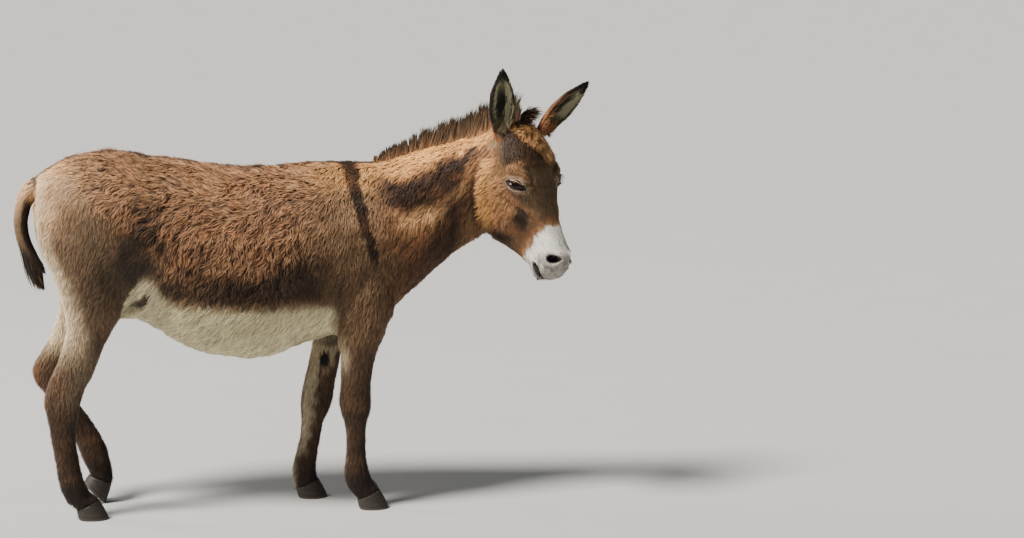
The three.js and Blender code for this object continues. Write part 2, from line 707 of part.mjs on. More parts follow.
function build() {
  const meshes = [];
  const coat = 0x7b573b;
  const horn = 0x4c4a48;
  const matrix = headMatrix();

  let flesh = trunkAndNeck(0);
  for (const [name, leg] of Object.entries(legs)) {
    let whole = legSolid(leg.rows, leg.hoof);
    if (chestnuts[name]) {
      whole = whole.add(toSolid(ellipsoid(chestnuts[name], [13, 8, 20], [0, 0, 0], 12)));
    }
    const lower = whole.trimByPlane([0, 0, -1], -leg.cut + gap / 2);
    flesh = flesh.add(whole.trimByPlane([0, 0, 1], leg.cut + gap / 2));
    meshes.push(toMesh(lower, name, coat, 0.9));
    const hoofName = name.replace('leg', '_hoof');
    meshes.push(toMesh(hoofSolid(leg.hoof), hoofName, horn, 0.5));
  }

  const tail = tailSolid();
  const tailPlane = { point: [-553, 0, 1022], normal: [-0.6, 0, -0.8] };
  flesh = flesh.add(half(tail, tailPlane, -1));
  const tailEnd = half(tail, tailPlane, 1).subtract(trunkAndNeck(2));

  const head = headShape(0).transform(matrix.elements);
  const torso = half(flesh, neckPlane, -1);
  const neckSide = half(flesh, neckPlane, 1);
  let headSide = neckSide.add(head);

  const earSolids = {};
  const headRoom = headShape(gap).transform(matrix.elements);
  const clearance = [trunkAndNeck(gap), headRoom];
  for (const [name, ear] of Object.entries(ears)) {
    const frame = earFrame(ear, matrix);
    const whole = earSolid(0, false).transform(frame.elements);
    clearance.push(earSolid(gap * 1.5, true).transform(frame.elements));
    const root = new THREE.Vector3(0, 0, 32).applyMatrix4(frame);
    const cut = { point: root.toArray(), normal: ear.aim };
    headSide = headSide.add(half(whole, cut, -1));
    earSolids[name] = largest(half(whole, cut, 1).subtract(headRoom));
  }

  const headPlane = {
    point: vector(headCut.point).applyMatrix4(matrix).toArray(),
    normal: vector(headCut.normal).transformDirection(matrix).toArray(),
  };
  const neck = half(headSide, headPlane, -1);
  headSide = half(headSide, headPlane, 1);

  headSide = headSide.subtract(headHollows().transform(matrix.elements));
  const eyeSolids = {};
  for (const side of [-1, 1]) {
    const radii = [eye.radius, eye.radius, eye.radius];
    const ball = toSolid(ellipsoid([eye.x, side * eye.y, eye.z], radii, [0, 0, 0], 16));
    eyeSolids[side < 0 ? 'eye_right' : 'eye_left'] = ball.transform(matrix.elements);
  }

  const clear = join(clearance);
  const mane = largest(maneSolid().subtract(clear));
  const forelock = largest(forelockSolid().transform(matrix.elements).subtract(clear).subtract(mane));

  meshes.push(toMesh(largest(torso), 'torso', coat, 0.9));
  meshes.push(toMesh(largest(neck), 'neck', coat, 0.9));
  meshes.push(toMesh(largest(headSide), 'head', coat, 0.9));
  meshes.push(toMesh(largest(tailEnd), 'tail', 0x3a2a20, 0.9));
  meshes.push(toMesh(mane, 'mane', 0x3a2a20, 0.9));
  meshes.push(toMesh(forelock, 'forelock', 0x3a2a20, 0.9));
  for (const [name, solid] of Object.entries(earSolids)) {
    meshes.push(toMesh(solid, name, coat, 0.9));
  }
  for (const [name, solid] of Object.entries(eyeSolids)) {
    meshes.push(toMesh(solid, name, 0x15100c, 0.1));
  }
  return meshes;
}

const donkey = new THREE.Group();
donkey.name = 'donkey';
build().forEach((mesh) => donkey.add(mesh));

// The origin is the bottom centre of the whole animal's box.
const bounds = new THREE.Box3().setFromObject(donkey);
const shift = bounds.getCenter(new THREE.Vector3()).negate();
shift.z = -bounds.min.z;
donkey.children.forEach((mesh) => mesh.geometry.translate(shift.x, shift.y, shift.z));

export default donkey;
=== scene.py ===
# A donkey, adult, standing with its head turned to its right: skin, coat, mane, tail, ears, eyes and hooves
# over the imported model, on a pale studio floor. Lengths are worked out in millimetres in the body's own
# axes (x to the chest, y to the left side, z up) and put into meshes in metres.
import bmesh
import bpy
import numpy as np
from mathutils import Matrix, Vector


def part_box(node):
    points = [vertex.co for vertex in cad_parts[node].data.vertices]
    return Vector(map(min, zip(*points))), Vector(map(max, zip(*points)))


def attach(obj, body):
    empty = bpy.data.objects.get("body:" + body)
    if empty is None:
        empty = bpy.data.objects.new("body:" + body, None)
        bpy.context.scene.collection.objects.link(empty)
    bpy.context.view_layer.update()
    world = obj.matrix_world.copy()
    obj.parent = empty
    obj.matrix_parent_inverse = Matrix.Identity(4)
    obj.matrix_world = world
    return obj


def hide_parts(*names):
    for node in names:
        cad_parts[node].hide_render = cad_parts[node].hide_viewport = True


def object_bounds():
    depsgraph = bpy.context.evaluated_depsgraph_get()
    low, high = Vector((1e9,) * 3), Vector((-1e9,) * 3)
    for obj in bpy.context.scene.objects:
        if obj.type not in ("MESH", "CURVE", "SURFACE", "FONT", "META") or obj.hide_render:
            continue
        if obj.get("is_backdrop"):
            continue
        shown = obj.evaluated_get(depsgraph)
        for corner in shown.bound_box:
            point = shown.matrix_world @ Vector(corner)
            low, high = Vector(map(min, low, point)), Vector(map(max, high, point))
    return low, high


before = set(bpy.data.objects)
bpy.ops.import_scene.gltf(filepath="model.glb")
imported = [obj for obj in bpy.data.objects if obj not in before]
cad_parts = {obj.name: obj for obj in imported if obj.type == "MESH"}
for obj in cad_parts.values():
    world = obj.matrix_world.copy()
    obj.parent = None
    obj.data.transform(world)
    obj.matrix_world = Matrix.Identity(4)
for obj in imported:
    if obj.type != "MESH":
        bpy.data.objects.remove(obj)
cadBox = [list(corner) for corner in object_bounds()]


# the turned and lowered head, in mm and degrees; then the eyes and nostrils, in the head's own axes
headPose = {"poll": (979, -110, 1211), "turn": -50, "pitch": 64, "roll": 1, "scale": 0.98}
eyeShape = {"place": (181, 87, -28), "slant": -0.84, "ball": 27.2, "slit": 26.5, "upper": 10.5, "lower": 9,
            "power": 1.75, "front": 28, "lid": 31, "cornea": 1.3, "lashes": 46}
nostrilShape = {"place": (443, 39, -25), "turn": (-0.75, 0.35, 0.45), "short": 18.5, "long": 29, "depth": 32}


def spin(axis, angle):
    # turn about x, y or z by an angle in radians
    c, s = np.cos(angle), np.sin(angle)
    turns = {"x": ((1, 0, 0), (0, c, -s), (0, s, c)), "y": ((c, 0, s), (0, 1, 0), (-s, 0, c)),
             "z": ((c, -s, 0), (s, c, 0), (0, 0, 1))}
    return np.array(turns[axis], float)


headAxes = (spin("z", np.radians(headPose["turn"])) @ spin("y", np.radians(headPose["pitch"]))
            @ spin("x", np.radians(headPose["roll"])))


def headToBody(points):
    # from the head's axes (x to the nose, y to its left, z to the brow, 0 at the poll) to the body's
    return np.array(headPose["poll"], float) + headPose["scale"] * (np.asarray(points, float) @ headAxes.T)


def bodyToHead(points):
    # the way back: the offset from the poll, turned into the head's axes
    return (points - np.array(headPose["poll"], float)) @ headAxes / headPose["scale"]


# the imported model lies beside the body's axes by this much
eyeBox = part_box("eye_right")
eyeMiddle = (np.array(eyeBox[0]) + np.array(eyeBox[1])) * 500
bodyShift = eyeMiddle - headToBody(np.array(eyeShape["place"]) * (1, -1, 1))


def toMetres(points):
    # from body mm to the frame's metres
    return (points + bodyShift) * 0.001


def unit(v):
    # each row divided by its own length
    return v / np.maximum(np.linalg.norm(v, axis=-1, keepdims=True), 1e-9)


def ramp(low, high, x):
    # smooth step from 0 at low to 1 at high
    t = np.clip((x - low) / (high - low), 0, 1)
    return t * t * (3 - 2 * t)


def drop(low, high, x):
    # smooth step from 1 at low to 0 at high
    return 1 - ramp(low, high, x)


def hill(x, middle, width):
    # bell curve of height 1
    return np.exp(-((x - middle) / width) ** 2)


def columns(*values):
    # single numbers and lists of numbers side by side, as the columns of one table
    return np.stack(np.broadcast_arrays(*values), axis=1)


def without(v, way, share=1):
    # v less its part along a unit direction
    return v - way * (v * way).sum(1, keepdims=True) * share


def mix(a, b, share):
    # a moved towards b by the share
    return a + (b - a) * share


def smoothTable(table, x):
    # smooth curve through the rows of a table, whose first column is the parameter
    table = np.array(table, float)
    knots, values = table[:, 0], table[:, 1:]
    slopes = np.gradient(values, knots, axis=0)
    i = np.clip(np.searchsorted(knots, x, side="right") - 1, 0, len(knots) - 2)
    step = (knots[i + 1] - knots[i])[..., None]
    t = np.clip((x - knots[i])[..., None] / step, 0, 1)
    a, b = values[i], values[i + 1]
    return (a * (1 + 2 * t) * (1 - t) ** 2 + slopes[i] * step * t * (1 - t) ** 2
            + b * t * t * (3 - 2 * t) + slopes[i + 1] * step * t * t * (t - 1))


def cellNumber(cells, seed):
    # repeatable number from 0 to 1 for each whole-number cell
    h = (cells[..., 0] * 73856093) ^ (cells[..., 1] * 19349663) ^ (cells[..., 2] * 83492791) ^ (seed * 40503)
    h = h & 0xFFFFFFFF
    h = ((h ^ (h >> 13)) * 1274126177) & 0xFFFFFFFF
    h = h ^ (h >> 16)
    return (h & 0xFFFFFF) / float(0xFFFFFF)


def cloud(points, size, seed):
    # smooth noise from -1 to 1 with lumps of the size given in mm
    p = points / size
    cell = np.floor(p).astype(np.int64)
    t = p - cell
    t = t * t * (3 - 2 * t)
    total = np.zeros(len(points))
    for corner in np.ndindex(2, 2, 2):
        share = np.prod(np.where(np.array(corner) == 1, t, 1 - t), axis=1)
        total += share * cellNumber(cell + np.array(corner), seed)
    return total * 2 - 1


def clumpCentre(points, size, seed):
    # the nearest of one scattered point in each cell of a grid, and that point's own number
    cell = np.floor(points / size).astype(np.int64)
    best = np.full(len(points), 1e9)
    centre = np.zeros_like(points)
    number = np.zeros(len(points))
    for offset in np.ndindex(3, 3, 3):
        near = cell + np.array(offset) - 1
        jitter = columns(*(cellNumber(near, seed + k) for k in range(3)))
        place = (near + jitter) * size
        distance = ((place - points) ** 2).sum(1)
        closer = distance < best
        best = np.where(closer, distance, best)
        centre[closer] = place[closer]
        number[closer] = cellNumber(near, seed + 7)[closer]
    return centre, number


def linear(hexText):
    # sRGB hex text to linear red, green and blue
    value = np.array([int(hexText[i:i + 2], 16) for i in (1, 3, 5)]) / 255
    return np.where(value <= 0.04045, value / 12.92, ((value + 0.055) / 1.055) ** 2.4)


def addNode(tree, kind, settings=None, links=()):
    # one shader node with its settings (sockets by name or number, else properties) and its incoming links,
    # each given as (its own socket, the node that feeds it, that node's output)
    node = tree.nodes.new("ShaderNode" + kind)
    for name, value in (settings or {}).items():
        if isinstance(name, int) or name in node.inputs:
            node.inputs[name].default_value = value
        else:
            setattr(node, name, value)
    for socket, source, output in links:
        tree.links.new(source.outputs[output], node.inputs[socket])
    return node


def newMaterial(name):
    # an empty material and its node tree
    material = bpy.data.materials.new(name)
    material.use_nodes = True
    tree = material.node_tree
    tree.nodes.clear()
    return material, tree


def finishMaterial(tree, shader):
    # the shader joined to the surface
    addNode(tree, "OutputMaterial", links=[("Surface", shader, "BSDF")])


def flipInward(points, triangles, middle=0):
    # a closed mesh's triangles turned to face outwards, from the sign of its volume about the middle
    a, b, c = (points[triangles[:, i]] - middle for i in range(3))
    return triangles[:, ::-1] if (np.cross(a, b) * c).sum() < 0 else triangles


def vertexNormals(points, triangles):
    # the sum of the faces' normals round each point, weighted by their areas
    a, b, c = (points[triangles[:, k]] for k in range(3))
    face = np.cross(b - a, c - a)
    total = np.zeros_like(points)
    for corner in range(3):
        for axis in range(3):
            total[:, axis] += np.bincount(triangles[:, corner], face[:, axis], len(points))
    return unit(total)


def putMesh(name, points, faces, material, colours=None, uv=None):
    # a mesh object from body points in mm and an array of faces, each with the same number of corners
    mesh = bpy.data.meshes.new(name)
    count, corners = faces.shape
    mesh.vertices.add(len(points))
    mesh.vertices.foreach_set("co", toMetres(points).astype(np.float32).ravel())
    mesh.loops.add(count * corners)
    mesh.loops.foreach_set("vertex_index", faces.astype(np.int32).ravel())
    mesh.polygons.add(count)
    mesh.polygons.foreach_set("loop_start", np.arange(0, count * corners, corners, dtype=np.int32))
    mesh.update(calc_edges=True)
    mesh.validate()
    if colours is not None:
        layer = mesh.color_attributes.new("coatColour", "FLOAT_COLOR", "POINT")
        rgba = np.ones((len(points), 4), np.float32)
        rgba[:, :3] = colours
        layer.data.foreach_set("color", rgba.ravel())
    if uv is not None:
        layer = mesh.uv_layers.new(name="OFBake")
        layer.data.foreach_set("uv", uv[faces.ravel()].astype(np.float32).ravel())
    mesh.polygons.foreach_set("use_smooth", np.ones(count, bool))
    mesh.materials.append(material)
    piece = bpy.data.objects.new(name, mesh)
    bpy.context.scene.collection.objects.link(piece)
    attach(piece, "root")
    return piece


def addVector(piece, name, values):
    # a vector for each point of a piece, for its material to read
    layer = piece.data.attributes.new(name, "FLOAT_VECTOR", "POINT")
    layer.data.foreach_set("vector", values.astype(np.float32).ravel())


def gridFaces(rows, around):
    # quads of a grid of rows x around points, closed round each row
    i = np.arange(rows - 1)[:, None] * around
    j = np.arange(around)[None, :]
    k = (j + 1) % around
    return np.stack([i + j, i + k, i + around + k, i + around + j], axis=-1).reshape(-1, 4)


def eyeFrame(side):
    # rows: along the slit towards the nose, up across the lids, outwards; then the centre, in head axes
    out = unit(np.array([0.16, side * 0.86, 0.48]))
    along = np.array([np.cos(eyeShape["slant"]), 0, -np.sin(eyeShape["slant"])])
    along = unit(along - out * (along @ out))
    up = np.cross(along, out) * side
    place = np.array(eyeShape["place"], float) * (1, side, 1)
    return np.stack([along, up, out]), place


def localPoints(head, frameOfPart):
    # head points in the axes of an eye or a nostril
    axes, place = frameOfPart
    return (head - place) @ axes.T


def almondRing(flat):
    # 1 on the edge of the almond between the lids, 0 in its middle: a rounded square with its own halves
    half = np.where(flat[:, 1] > 0, eyeShape["upper"], eyeShape["lower"])
    power = eyeShape["power"]
    across, up = np.abs(flat[:, 0] / eyeShape["slit"]), np.abs(flat[:, 1] / half)
    return (across ** power + up ** power) ** (1 / power)


def eyeRing(local):
    # the almond's ring for each direction from the eyeball's centre, the reach from there and the place on it
    reach = np.linalg.norm(local, axis=1)
    flat = local / np.maximum(reach, 1e-6)[:, None] * eyeShape["front"]
    return almondRing(flat), reach, flat


def eyeEdge(local):
    # distance in mm beyond the almond of the lids, negative inside it
    reach = np.linalg.norm(local, axis=1)
    flat = local * (eyeShape["front"] / np.clip(reach, 1e-6, eyeShape["lid"]))[:, None]
    beyond = np.hypot(flat[:, 0], flat[:, 1]) * (1 - 1 / np.maximum(almondRing(flat), 0.05))
    return beyond + np.maximum(0, 4 - local[:, 2])


def nostrilFrame(side):
    # rows: across the nostril, along it, outwards; then its middle, in head axes
    turn = np.array(nostrilShape["turn"]) * (side, 1, side)
    axes = spin("x", turn[0]) @ spin("y", turn[1]) @ spin("z", turn[2])
    return axes.T, np.array(nostrilShape["place"], float) * (1, side, 1)


def nostrilRing(local, side):
    # 1 on the nostril's rim: a bean, rounder at its outer end
    across = local[:, 1] / nostrilShape["long"]
    bend = local[:, 0] - 4.4 * side * across ** 2
    short = nostrilShape["short"] * (0.86 + 0.26 * np.clip(across * side, -1, 1))
    return np.hypot(bend / short, across), bend


mouthLine = [(418, -93), (430, -91), (445, -89), (462, -89), (476, -92), (488, -99), (505, -106)]


def mouthHeight(head):
    # height in mm above the line between the lips
    line = np.array(mouthLine)
    return head[:, 2] - np.interp(head[:, 0], line[:, 0], line[:, 1])


def jawDistance(head):
    # distance from the rear edge of the jaw, positive on the cheek
    return (head[:, 2] + 101 + 0.63 * (head[:, 0] - 71)) / 1.18


def crestDistance(head):
    # distance above the bony ridge that runs from under the eye towards the nose
    return head[:, 2] + 62 - 0.42 * (head[:, 0] - 195)


def sculptEye(head, near, side):
    # socket, lids with their margin, and the fold above: a new distance from the eyeball's centre
    axes, place = eyeFrame(side)
    local = localPoints(head, (axes, place))
    ring, reach, flat = eyeRing(local)
    edge = eyeEdge(local)
    front = near & (local[:, 2] > -8) & (edge < 40)
    upper = ramp(-4, 4, flat[:, 1])
    margin = eyeShape["lid"] + hill(edge, 1.6, 1.6)
    lid = mix(22.5, margin, ramp(0.94, 1.03, ring))
    lid = lid + 0.10 * np.maximum(edge, 0) - (1.2 + 2.0 * upper) * hill(edge, 6.5, 1.7)
    share = drop(9, 20, edge) * ramp(-8, 6, local[:, 2]) * front
    goal = mix(reach, lid, share)
    goal = goal + front * (3.6 * upper * hill(edge, 12, 4.5) - 2.0 * hill(edge, 20, 4))
    moved = local * (goal / np.maximum(reach, 1e-6))[:, None]
    return np.where(front[:, None], place + moved @ axes, head)


def sculptNostril(head, near, side):
    # a deep opening with a raised lower rim, pushed along the nostril's own outward axis
    axes, place = nostrilFrame(side)
    local = localPoints(head, (axes, place))
    ring, bend = nostrilRing(local, side)
    front = near & (np.abs(local[:, 2]) < 36) & (ring < 2.6) & (head[:, 1] * side > -6)
    below = ramp(-6, 12, bend)
    rim = (1.8 + 2.2 * below) * hill(ring, 1.25, 0.2) - 2.4 * below * hill(ring, 1.85, 0.22)
    push = -nostrilShape["depth"] * drop(0.35, 1.02, ring) + rim
    flatten = -local[:, 2] * drop(0.9, 1.4, ring)
    local[:, 2] += np.where(front, push + 0.75 * flatten, 0)
    return np.where(front[:, None], place + local @ axes, head)


def faceBones(head):
    # heights in mm of the cheek's edge, the cheek bone, the brow, the chin and the hollow for the far ear
    hx, hy, hz = head.T
    off = np.abs(hy)
    jaw = jawDistance(head)
    cheek = ramp(55, 95, hx) * drop(235, 280, hx) * ramp(50, 85, off)
    cheek = cheek * (4.5 * hill(jaw, 13, 13) - 10 * hill(jaw, -11, 10) - 4 * hill(jaw, -30, 14))
    crest = crestDistance(head)
    bone = ramp(170, 205, hx) * drop(280, 320, hx) * ramp(25, 50, off)
    bone = bone * (3.0 * hill(crest, 0, 9) - 3.0 * hill(crest, -20, 11))
    low, high = np.array([128, 92, -14]), np.array([172, 74, 16])
    fromLow = columns(hx, off, hz) - low
    share = np.clip(fromLow @ (high - low) / ((high - low) @ (high - low)), 0, 1)
    apart = np.linalg.norm(fromLow - share[:, None] * (high - low), axis=1)
    brow = (7.0 + 6.0 * (hy > 0)) * hill(apart, 0, 14) - 4.0 * hill(apart, 24, 8) * (hz > -40)
    chin = -7 * ramp(392, 425, hx) * ramp(-100, -122, hz)
    earBed = -8 * hill(np.linalg.norm(head - np.array([42, 108, 4]), axis=1), 0, 26)
    return cheek + bone + brow + chin + earBed


def sculptHead(points, normals):
    # eyes, nostrils, then the gap between the lips and the bones of the face, along the surface's normals
    head = bodyToHead(points)
    outward = normals @ headAxes
    near = (np.abs(head[:, 1]) < 175) & (head[:, 0] > 40) & (head[:, 0] < 520) & (np.abs(head[:, 2]) < 300)
    for side in (-1, 1):
        head = sculptEye(head, near, side)
        head = sculptNostril(head, near, side)
    height = mouthHeight(head)
    gap = 4.2 + 8.0 * hill(head[:, 0], 446, 26)
    lips = -20 * hill(height, -2, gap) + 3.0 * hill(height, 13, 5) + 3.0 * hill(height, -13, 5)
    lips = ramp(414, 432, head[:, 0]) * near * lips
    return headToBody(head + outward * (lips + near * faceBones(head))[:, None])


# the remesh's grid in metres, and how often its steps are smoothed out
skinShape = {"voxel": 0.0086, "smoothRounds": 14}
fleshNodes = ["torso", "neck", "head", "foreleg_left", "foreleg_right", "hindleg_left", "hindleg_right"]


def readMesh(mesh):
    # a mesh's corners as they are stored, and its triangles
    mesh.calc_loop_triangles()
    corners = np.empty(len(mesh.vertices) * 3)
    mesh.vertices.foreach_get("co", corners)
    triangles = np.empty(len(mesh.loop_triangles) * 3, np.int32)
    mesh.loop_triangles.foreach_get("vertices", triangles)
    return corners.reshape(-1, 3), triangles.reshape(-1, 3)


def readEdges(mesh):
    # the two corners of each edge
    edges = np.empty(len(mesh.edges) * 2, np.int32)
    mesh.edges.foreach_get("vertices", edges)
    return edges.reshape(-1, 2)


def nodePoints(name):
    # a CAD node's corners in body mm with doubles joined, and its triangles
    corners, triangles = readMesh(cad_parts[name].data)
    points, which = np.unique(np.round(corners * 1000, 3), axis=0, return_inverse=True)
    return points - bodyShift, which.ravel()[triangles]


def meshArrays(mesh):
    # points in body mm, triangles and edges
    corners, triangles = readMesh(mesh)
    return corners * 1000 - bodyShift, triangles, readEdges(mesh)


def relax(points, edges, rounds, share=None):
    # evens out the surface without shrinking it: a step towards the neighbours' mean, then one back
    count = len(points)
    links = np.maximum(np.bincount(edges.ravel(), minlength=count), 1)[:, None]
    share = 1 if share is None else share[:, None]
    for _ in range(rounds):
        for step in (0.6, -0.61):
            mean = np.empty_like(points)
            for axis in range(3):
                mean[:, axis] = (np.bincount(edges[:, 0], points[edges[:, 1], axis], count)
                                 + np.bincount(edges[:, 1], points[edges[:, 0], axis], count))
            points = points + share * step * (mean / links - points)
    return points


def refine(mesh, choose):
    # halves the edges that the function chooses from the body points
    places, _, edges = meshArrays(mesh)
    chosen = choose(places)[edges].all(1)
    work = bmesh.new()
    work.from_mesh(mesh)
    work.edges.ensure_lookup_table()
    halved = [work.edges[i] for i in np.flatnonzero(chosen)]
    bmesh.ops.subdivide_edges(work, edges=halved, cuts=1, use_grid_fill=True)
    work.to_mesh(mesh)
    work.free()


def detailLevel(points):
    # how many times the skin is refined: most at the lids, then nostrils and lips
    head = bodyToHead(points)
    level = 1.0 * ((head[:, 0] > 90) & (head[:, 0] < 520) & (np.abs(head[:, 1]) < 150) & (head[:, 2] > -230))
    for side in (-1, 1):
        local = localPoints(head, eyeFrame(side))
        reach = np.linalg.norm(local, axis=1)
        ahead = local[:, 2] > -4
        level = np.maximum(level, ahead * ((reach < 56) * 1.0 + (reach < 48) + (reach < 38)))
        local = localPoints(head, nostrilFrame(side))
        reach = np.hypot(local[:, 0] * 1.4, local[:, 1]) + np.maximum(np.abs(local[:, 2]) - 16, 0) * 3
        level = np.maximum(level, (reach < 42) + (reach < 35) * 1.0)
    height = np.abs(mouthHeight(head))
    mouth = (head[:, 0] > 410) & (head[:, 0] < 520) & (np.abs(head[:, 1]) < 90)
    return np.maximum(level, mouth * (height < 13) + mouth * (height < 7) * 1.0)


def makeFlesh():
    # the flesh nodes and eyeballs as one closed mesh, remeshed, smoothed and refined
    allPoints, allTriangles, first = [], [], 0
    for name in fleshNodes + ["eye_left", "eye_right"]:
        points, triangles = nodePoints(name)
        allPoints.append(points)
        allTriangles.append(triangles + first)
        first += len(points)
    mesh = bpy.data.meshes.new("fleshWork")
    mesh.from_pydata(toMetres(np.concatenate(allPoints)).tolist(), [], np.concatenate(allTriangles).tolist())
    work = bpy.data.objects.new("fleshWork", mesh)
    bpy.context.scene.collection.objects.link(work)
    remesh = work.modifiers.new("remesh", "REMESH")
    remesh.mode = "VOXEL"
    remesh.voxel_size = skinShape["voxel"]
    bpy.context.view_layer.update()
    made = bpy.data.meshes.new_from_object(work.evaluated_get(bpy.context.evaluated_depsgraph_get()))
    bpy.data.objects.remove(work)
    points, triangles, edges = meshArrays(made)
    points = relax(points, edges, skinShape["smoothRounds"])
    for level in (1, 2, 3):
        made.vertices.foreach_set("co", toMetres(points).ravel())
        refine(made, lambda places: detailLevel(places) >= level)
        points, triangles, edges = meshArrays(made)
        points = relax(points, edges, 2, (detailLevel(points) >= level).astype(float))
        print("  detail level", level, len(triangles), "triangles")
    print("skin:", len(points), "points,", len(triangles), "triangles")
    return made, points, triangles


fleshMade, fleshPoints, fleshTriangles = makeFlesh()


# for each zone, in mm: a tuft's length and width, its tip's height as a share of its length, the depth of the
# coat, the area to a tuft in mm2, the pull towards its clump's middle and its waviness
zoneColumns = ("length", "width", "arch", "depth", "area", "pull", "wave")
coatZones = {
    "barrel": (30, 3.5, 0.30, 8.5, 21.5, 0.45, 0.36),
    "haunch": (20, 3.1, 0.20, 5.0, 12.5, 0.40, 0.19),
    "shoulder": (26, 3.8, 0.18, 6.0, 21, 0.42, 0.13),
    "belly": (36, 4.6, 0.20, 7.0, 30, 0.45, 0.10),
    "neck": (27, 3.7, 0.20, 6.5, 18.5, 0.55, 0.18),
    "upperLeg": (20, 3.2, 0.20, 3.0, 15.5, 0.38, 0.15),
    "lowerLeg": (17, 2.7, 0.27, 1.2, 12.5, 0.42, 0.20),
    "forehead": (17, 2.7, 0.24, 4.0, 12, 0.45, 0.20),
    "fringe": (24, 2.6, 0.38, 8.0, 9.5, 0.6, 0.42),
    "face": (10, 2.0, 0.17, 2.4, 6.2, 0.26, 0.09),
    "cheek": (27, 2.9, 0.22, 4.5, 12.5, 0.55, 0.20),
    "muzzle": (7, 1.4, 0.16, 1.3, 4.6, 0.15, 0.06),
}
zoneNames = list(coatZones)
firstHeadZone = zoneNames.index("forehead")


def zoneNumbers(column):
    # one number for each zone, from its column
    return np.array([row[zoneColumns.index(column)] for row in coatZones.values()])


def zoneValue(shares, column):
    # the zones' numbers mixed by each point's shares
    return shares @ zoneNumbers(column)


# (x, z) along the flank
paleEdge = [(-290, 640), (-272, 680), (-256, 724), (-236, 762), (-215, 783), (-190, 782), (-168, 756),
            (-146, 728), (-118, 714), (-78, 708), (-10, 700), (77, 692), (205, 690), (267, 690), (331, 688),
            (369, 684), (400, 672)]


def bellyLine(x):
    # height at which the flank turns pale, with a peak in the fold before the thigh
    table = np.array(paleEdge)
    return np.interp(x, table[:, 0], table[:, 1])


def headShare(points):
    # 1 on the head, 0 on the neck, with a soft edge behind the cheek; then the points in the head's axes
    head = bodyToHead(points)
    ahead = ramp(-34, 30, (head[:, 0] + 45) * 0.8 + head[:, 2] * 0.6)
    return ahead * drop(170, 205, np.abs(head[:, 1])) * ramp(770, 820, points[:, 0]), head


def legShare(points):
    # 1 on the legs, 0 on the trunk, with a soft edge at the elbow and the stifle
    x, z = points[:, 0], points[:, 2]
    fore = ramp(250, 285, x) * drop(500, 600, z)
    hind = drop(-270, -215, x) * drop(560, 690, z)
    return np.maximum(fore, hind)


def whiteEdge(hz):
    # how far down the head the white of the muzzle begins, later on the jaw than on the nose
    return 334 + 0.43 * np.maximum(0, -hz - 12)


def zoneShares(points):
    # how much of each zone a point has; the shares add up to 1
    z = points[:, 2]
    x = points[:, 0] + 22 * cloud(points, 80, 14) + 9 * cloud(points, 26, 15)
    onHead, head = headShare(points)
    hx, hy, hz = head.T
    leg = legShare(points) * (1 - onHead)
    body = (1 - onHead) * (1 - leg)
    neck = ramp(500, 650, x + 0.15 * (z - 900)) * body
    haunchEdge = np.interp(z, [860, 930, 1000, 1120], [-160, -235, -350, -430])
    haunch = drop(haunchEdge - 80, haunchEdge + 60, x) * (body - neck)
    shoulderEdge = 275 + 0.3 * (z - 807)
    shoulder = ramp(shoulderEdge - 110, shoulderEdge + 90, x) * (body - neck)
    edge = bellyLine(points[:, 0] + 5 * cloud(points, 20, 15))
    belly = drop(edge - 24, edge + 12, z + 7 * cloud(points, 30, 16)) * drop(365, 400, x)
    belly = belly * ramp(-285, -268, points[:, 0]) * (body - neck)
    shoulder, haunch = shoulder * (1 - belly), haunch * (1 - belly)
    barrel = np.clip(body - neck - haunch - shoulder - belly, 0, 1)
    low = drop(300, 430, z)
    white = ramp(-8, 8, hx - whiteEdge(hz) + 6 * cloud(points, 22, 17) + 8 * cloud(points, 6, 18))
    cheek = ramp(-0.35, 0.15, -(hz + 58) / 60) * drop(235, 310, hx + 0.2 * (hz + 150))
    top = drop(90, 170, hx) * ramp(-0.2, 0.5, (hz + 40) / 60)
    middle = np.interp(hx, [-13, 50, 96, 145], [-38, -34, 2, 34])
    mid = ramp(-14, 10, hy - middle + 10 * cloud(points, 30, 13))
    mid = mid * drop(128, 165, hx + 8 * cloud(points, 18, 12))
    muzzle = onHead * white
    cheek = onHead * (1 - white) * cheek
    forehead = onHead * (1 - white) * top * (1 - cheek / np.maximum(onHead * (1 - white), 1e-6))
    fringe, forehead = forehead * mid, forehead * (1 - mid)
    face = np.clip(onHead - muzzle - cheek - forehead - fringe, 0, 1)
    shares = {"barrel": barrel, "haunch": haunch, "shoulder": shoulder, "belly": belly, "neck": neck,
              "upperLeg": leg * (1 - low), "lowerLeg": leg * low, "forehead": forehead, "fringe": fringe,
              "face": face, "cheek": cheek, "muzzle": muzzle}
    stack = columns(*(shares[name] for name in zoneNames))
    return stack / np.maximum(stack.sum(1, keepdims=True), 1e-6)


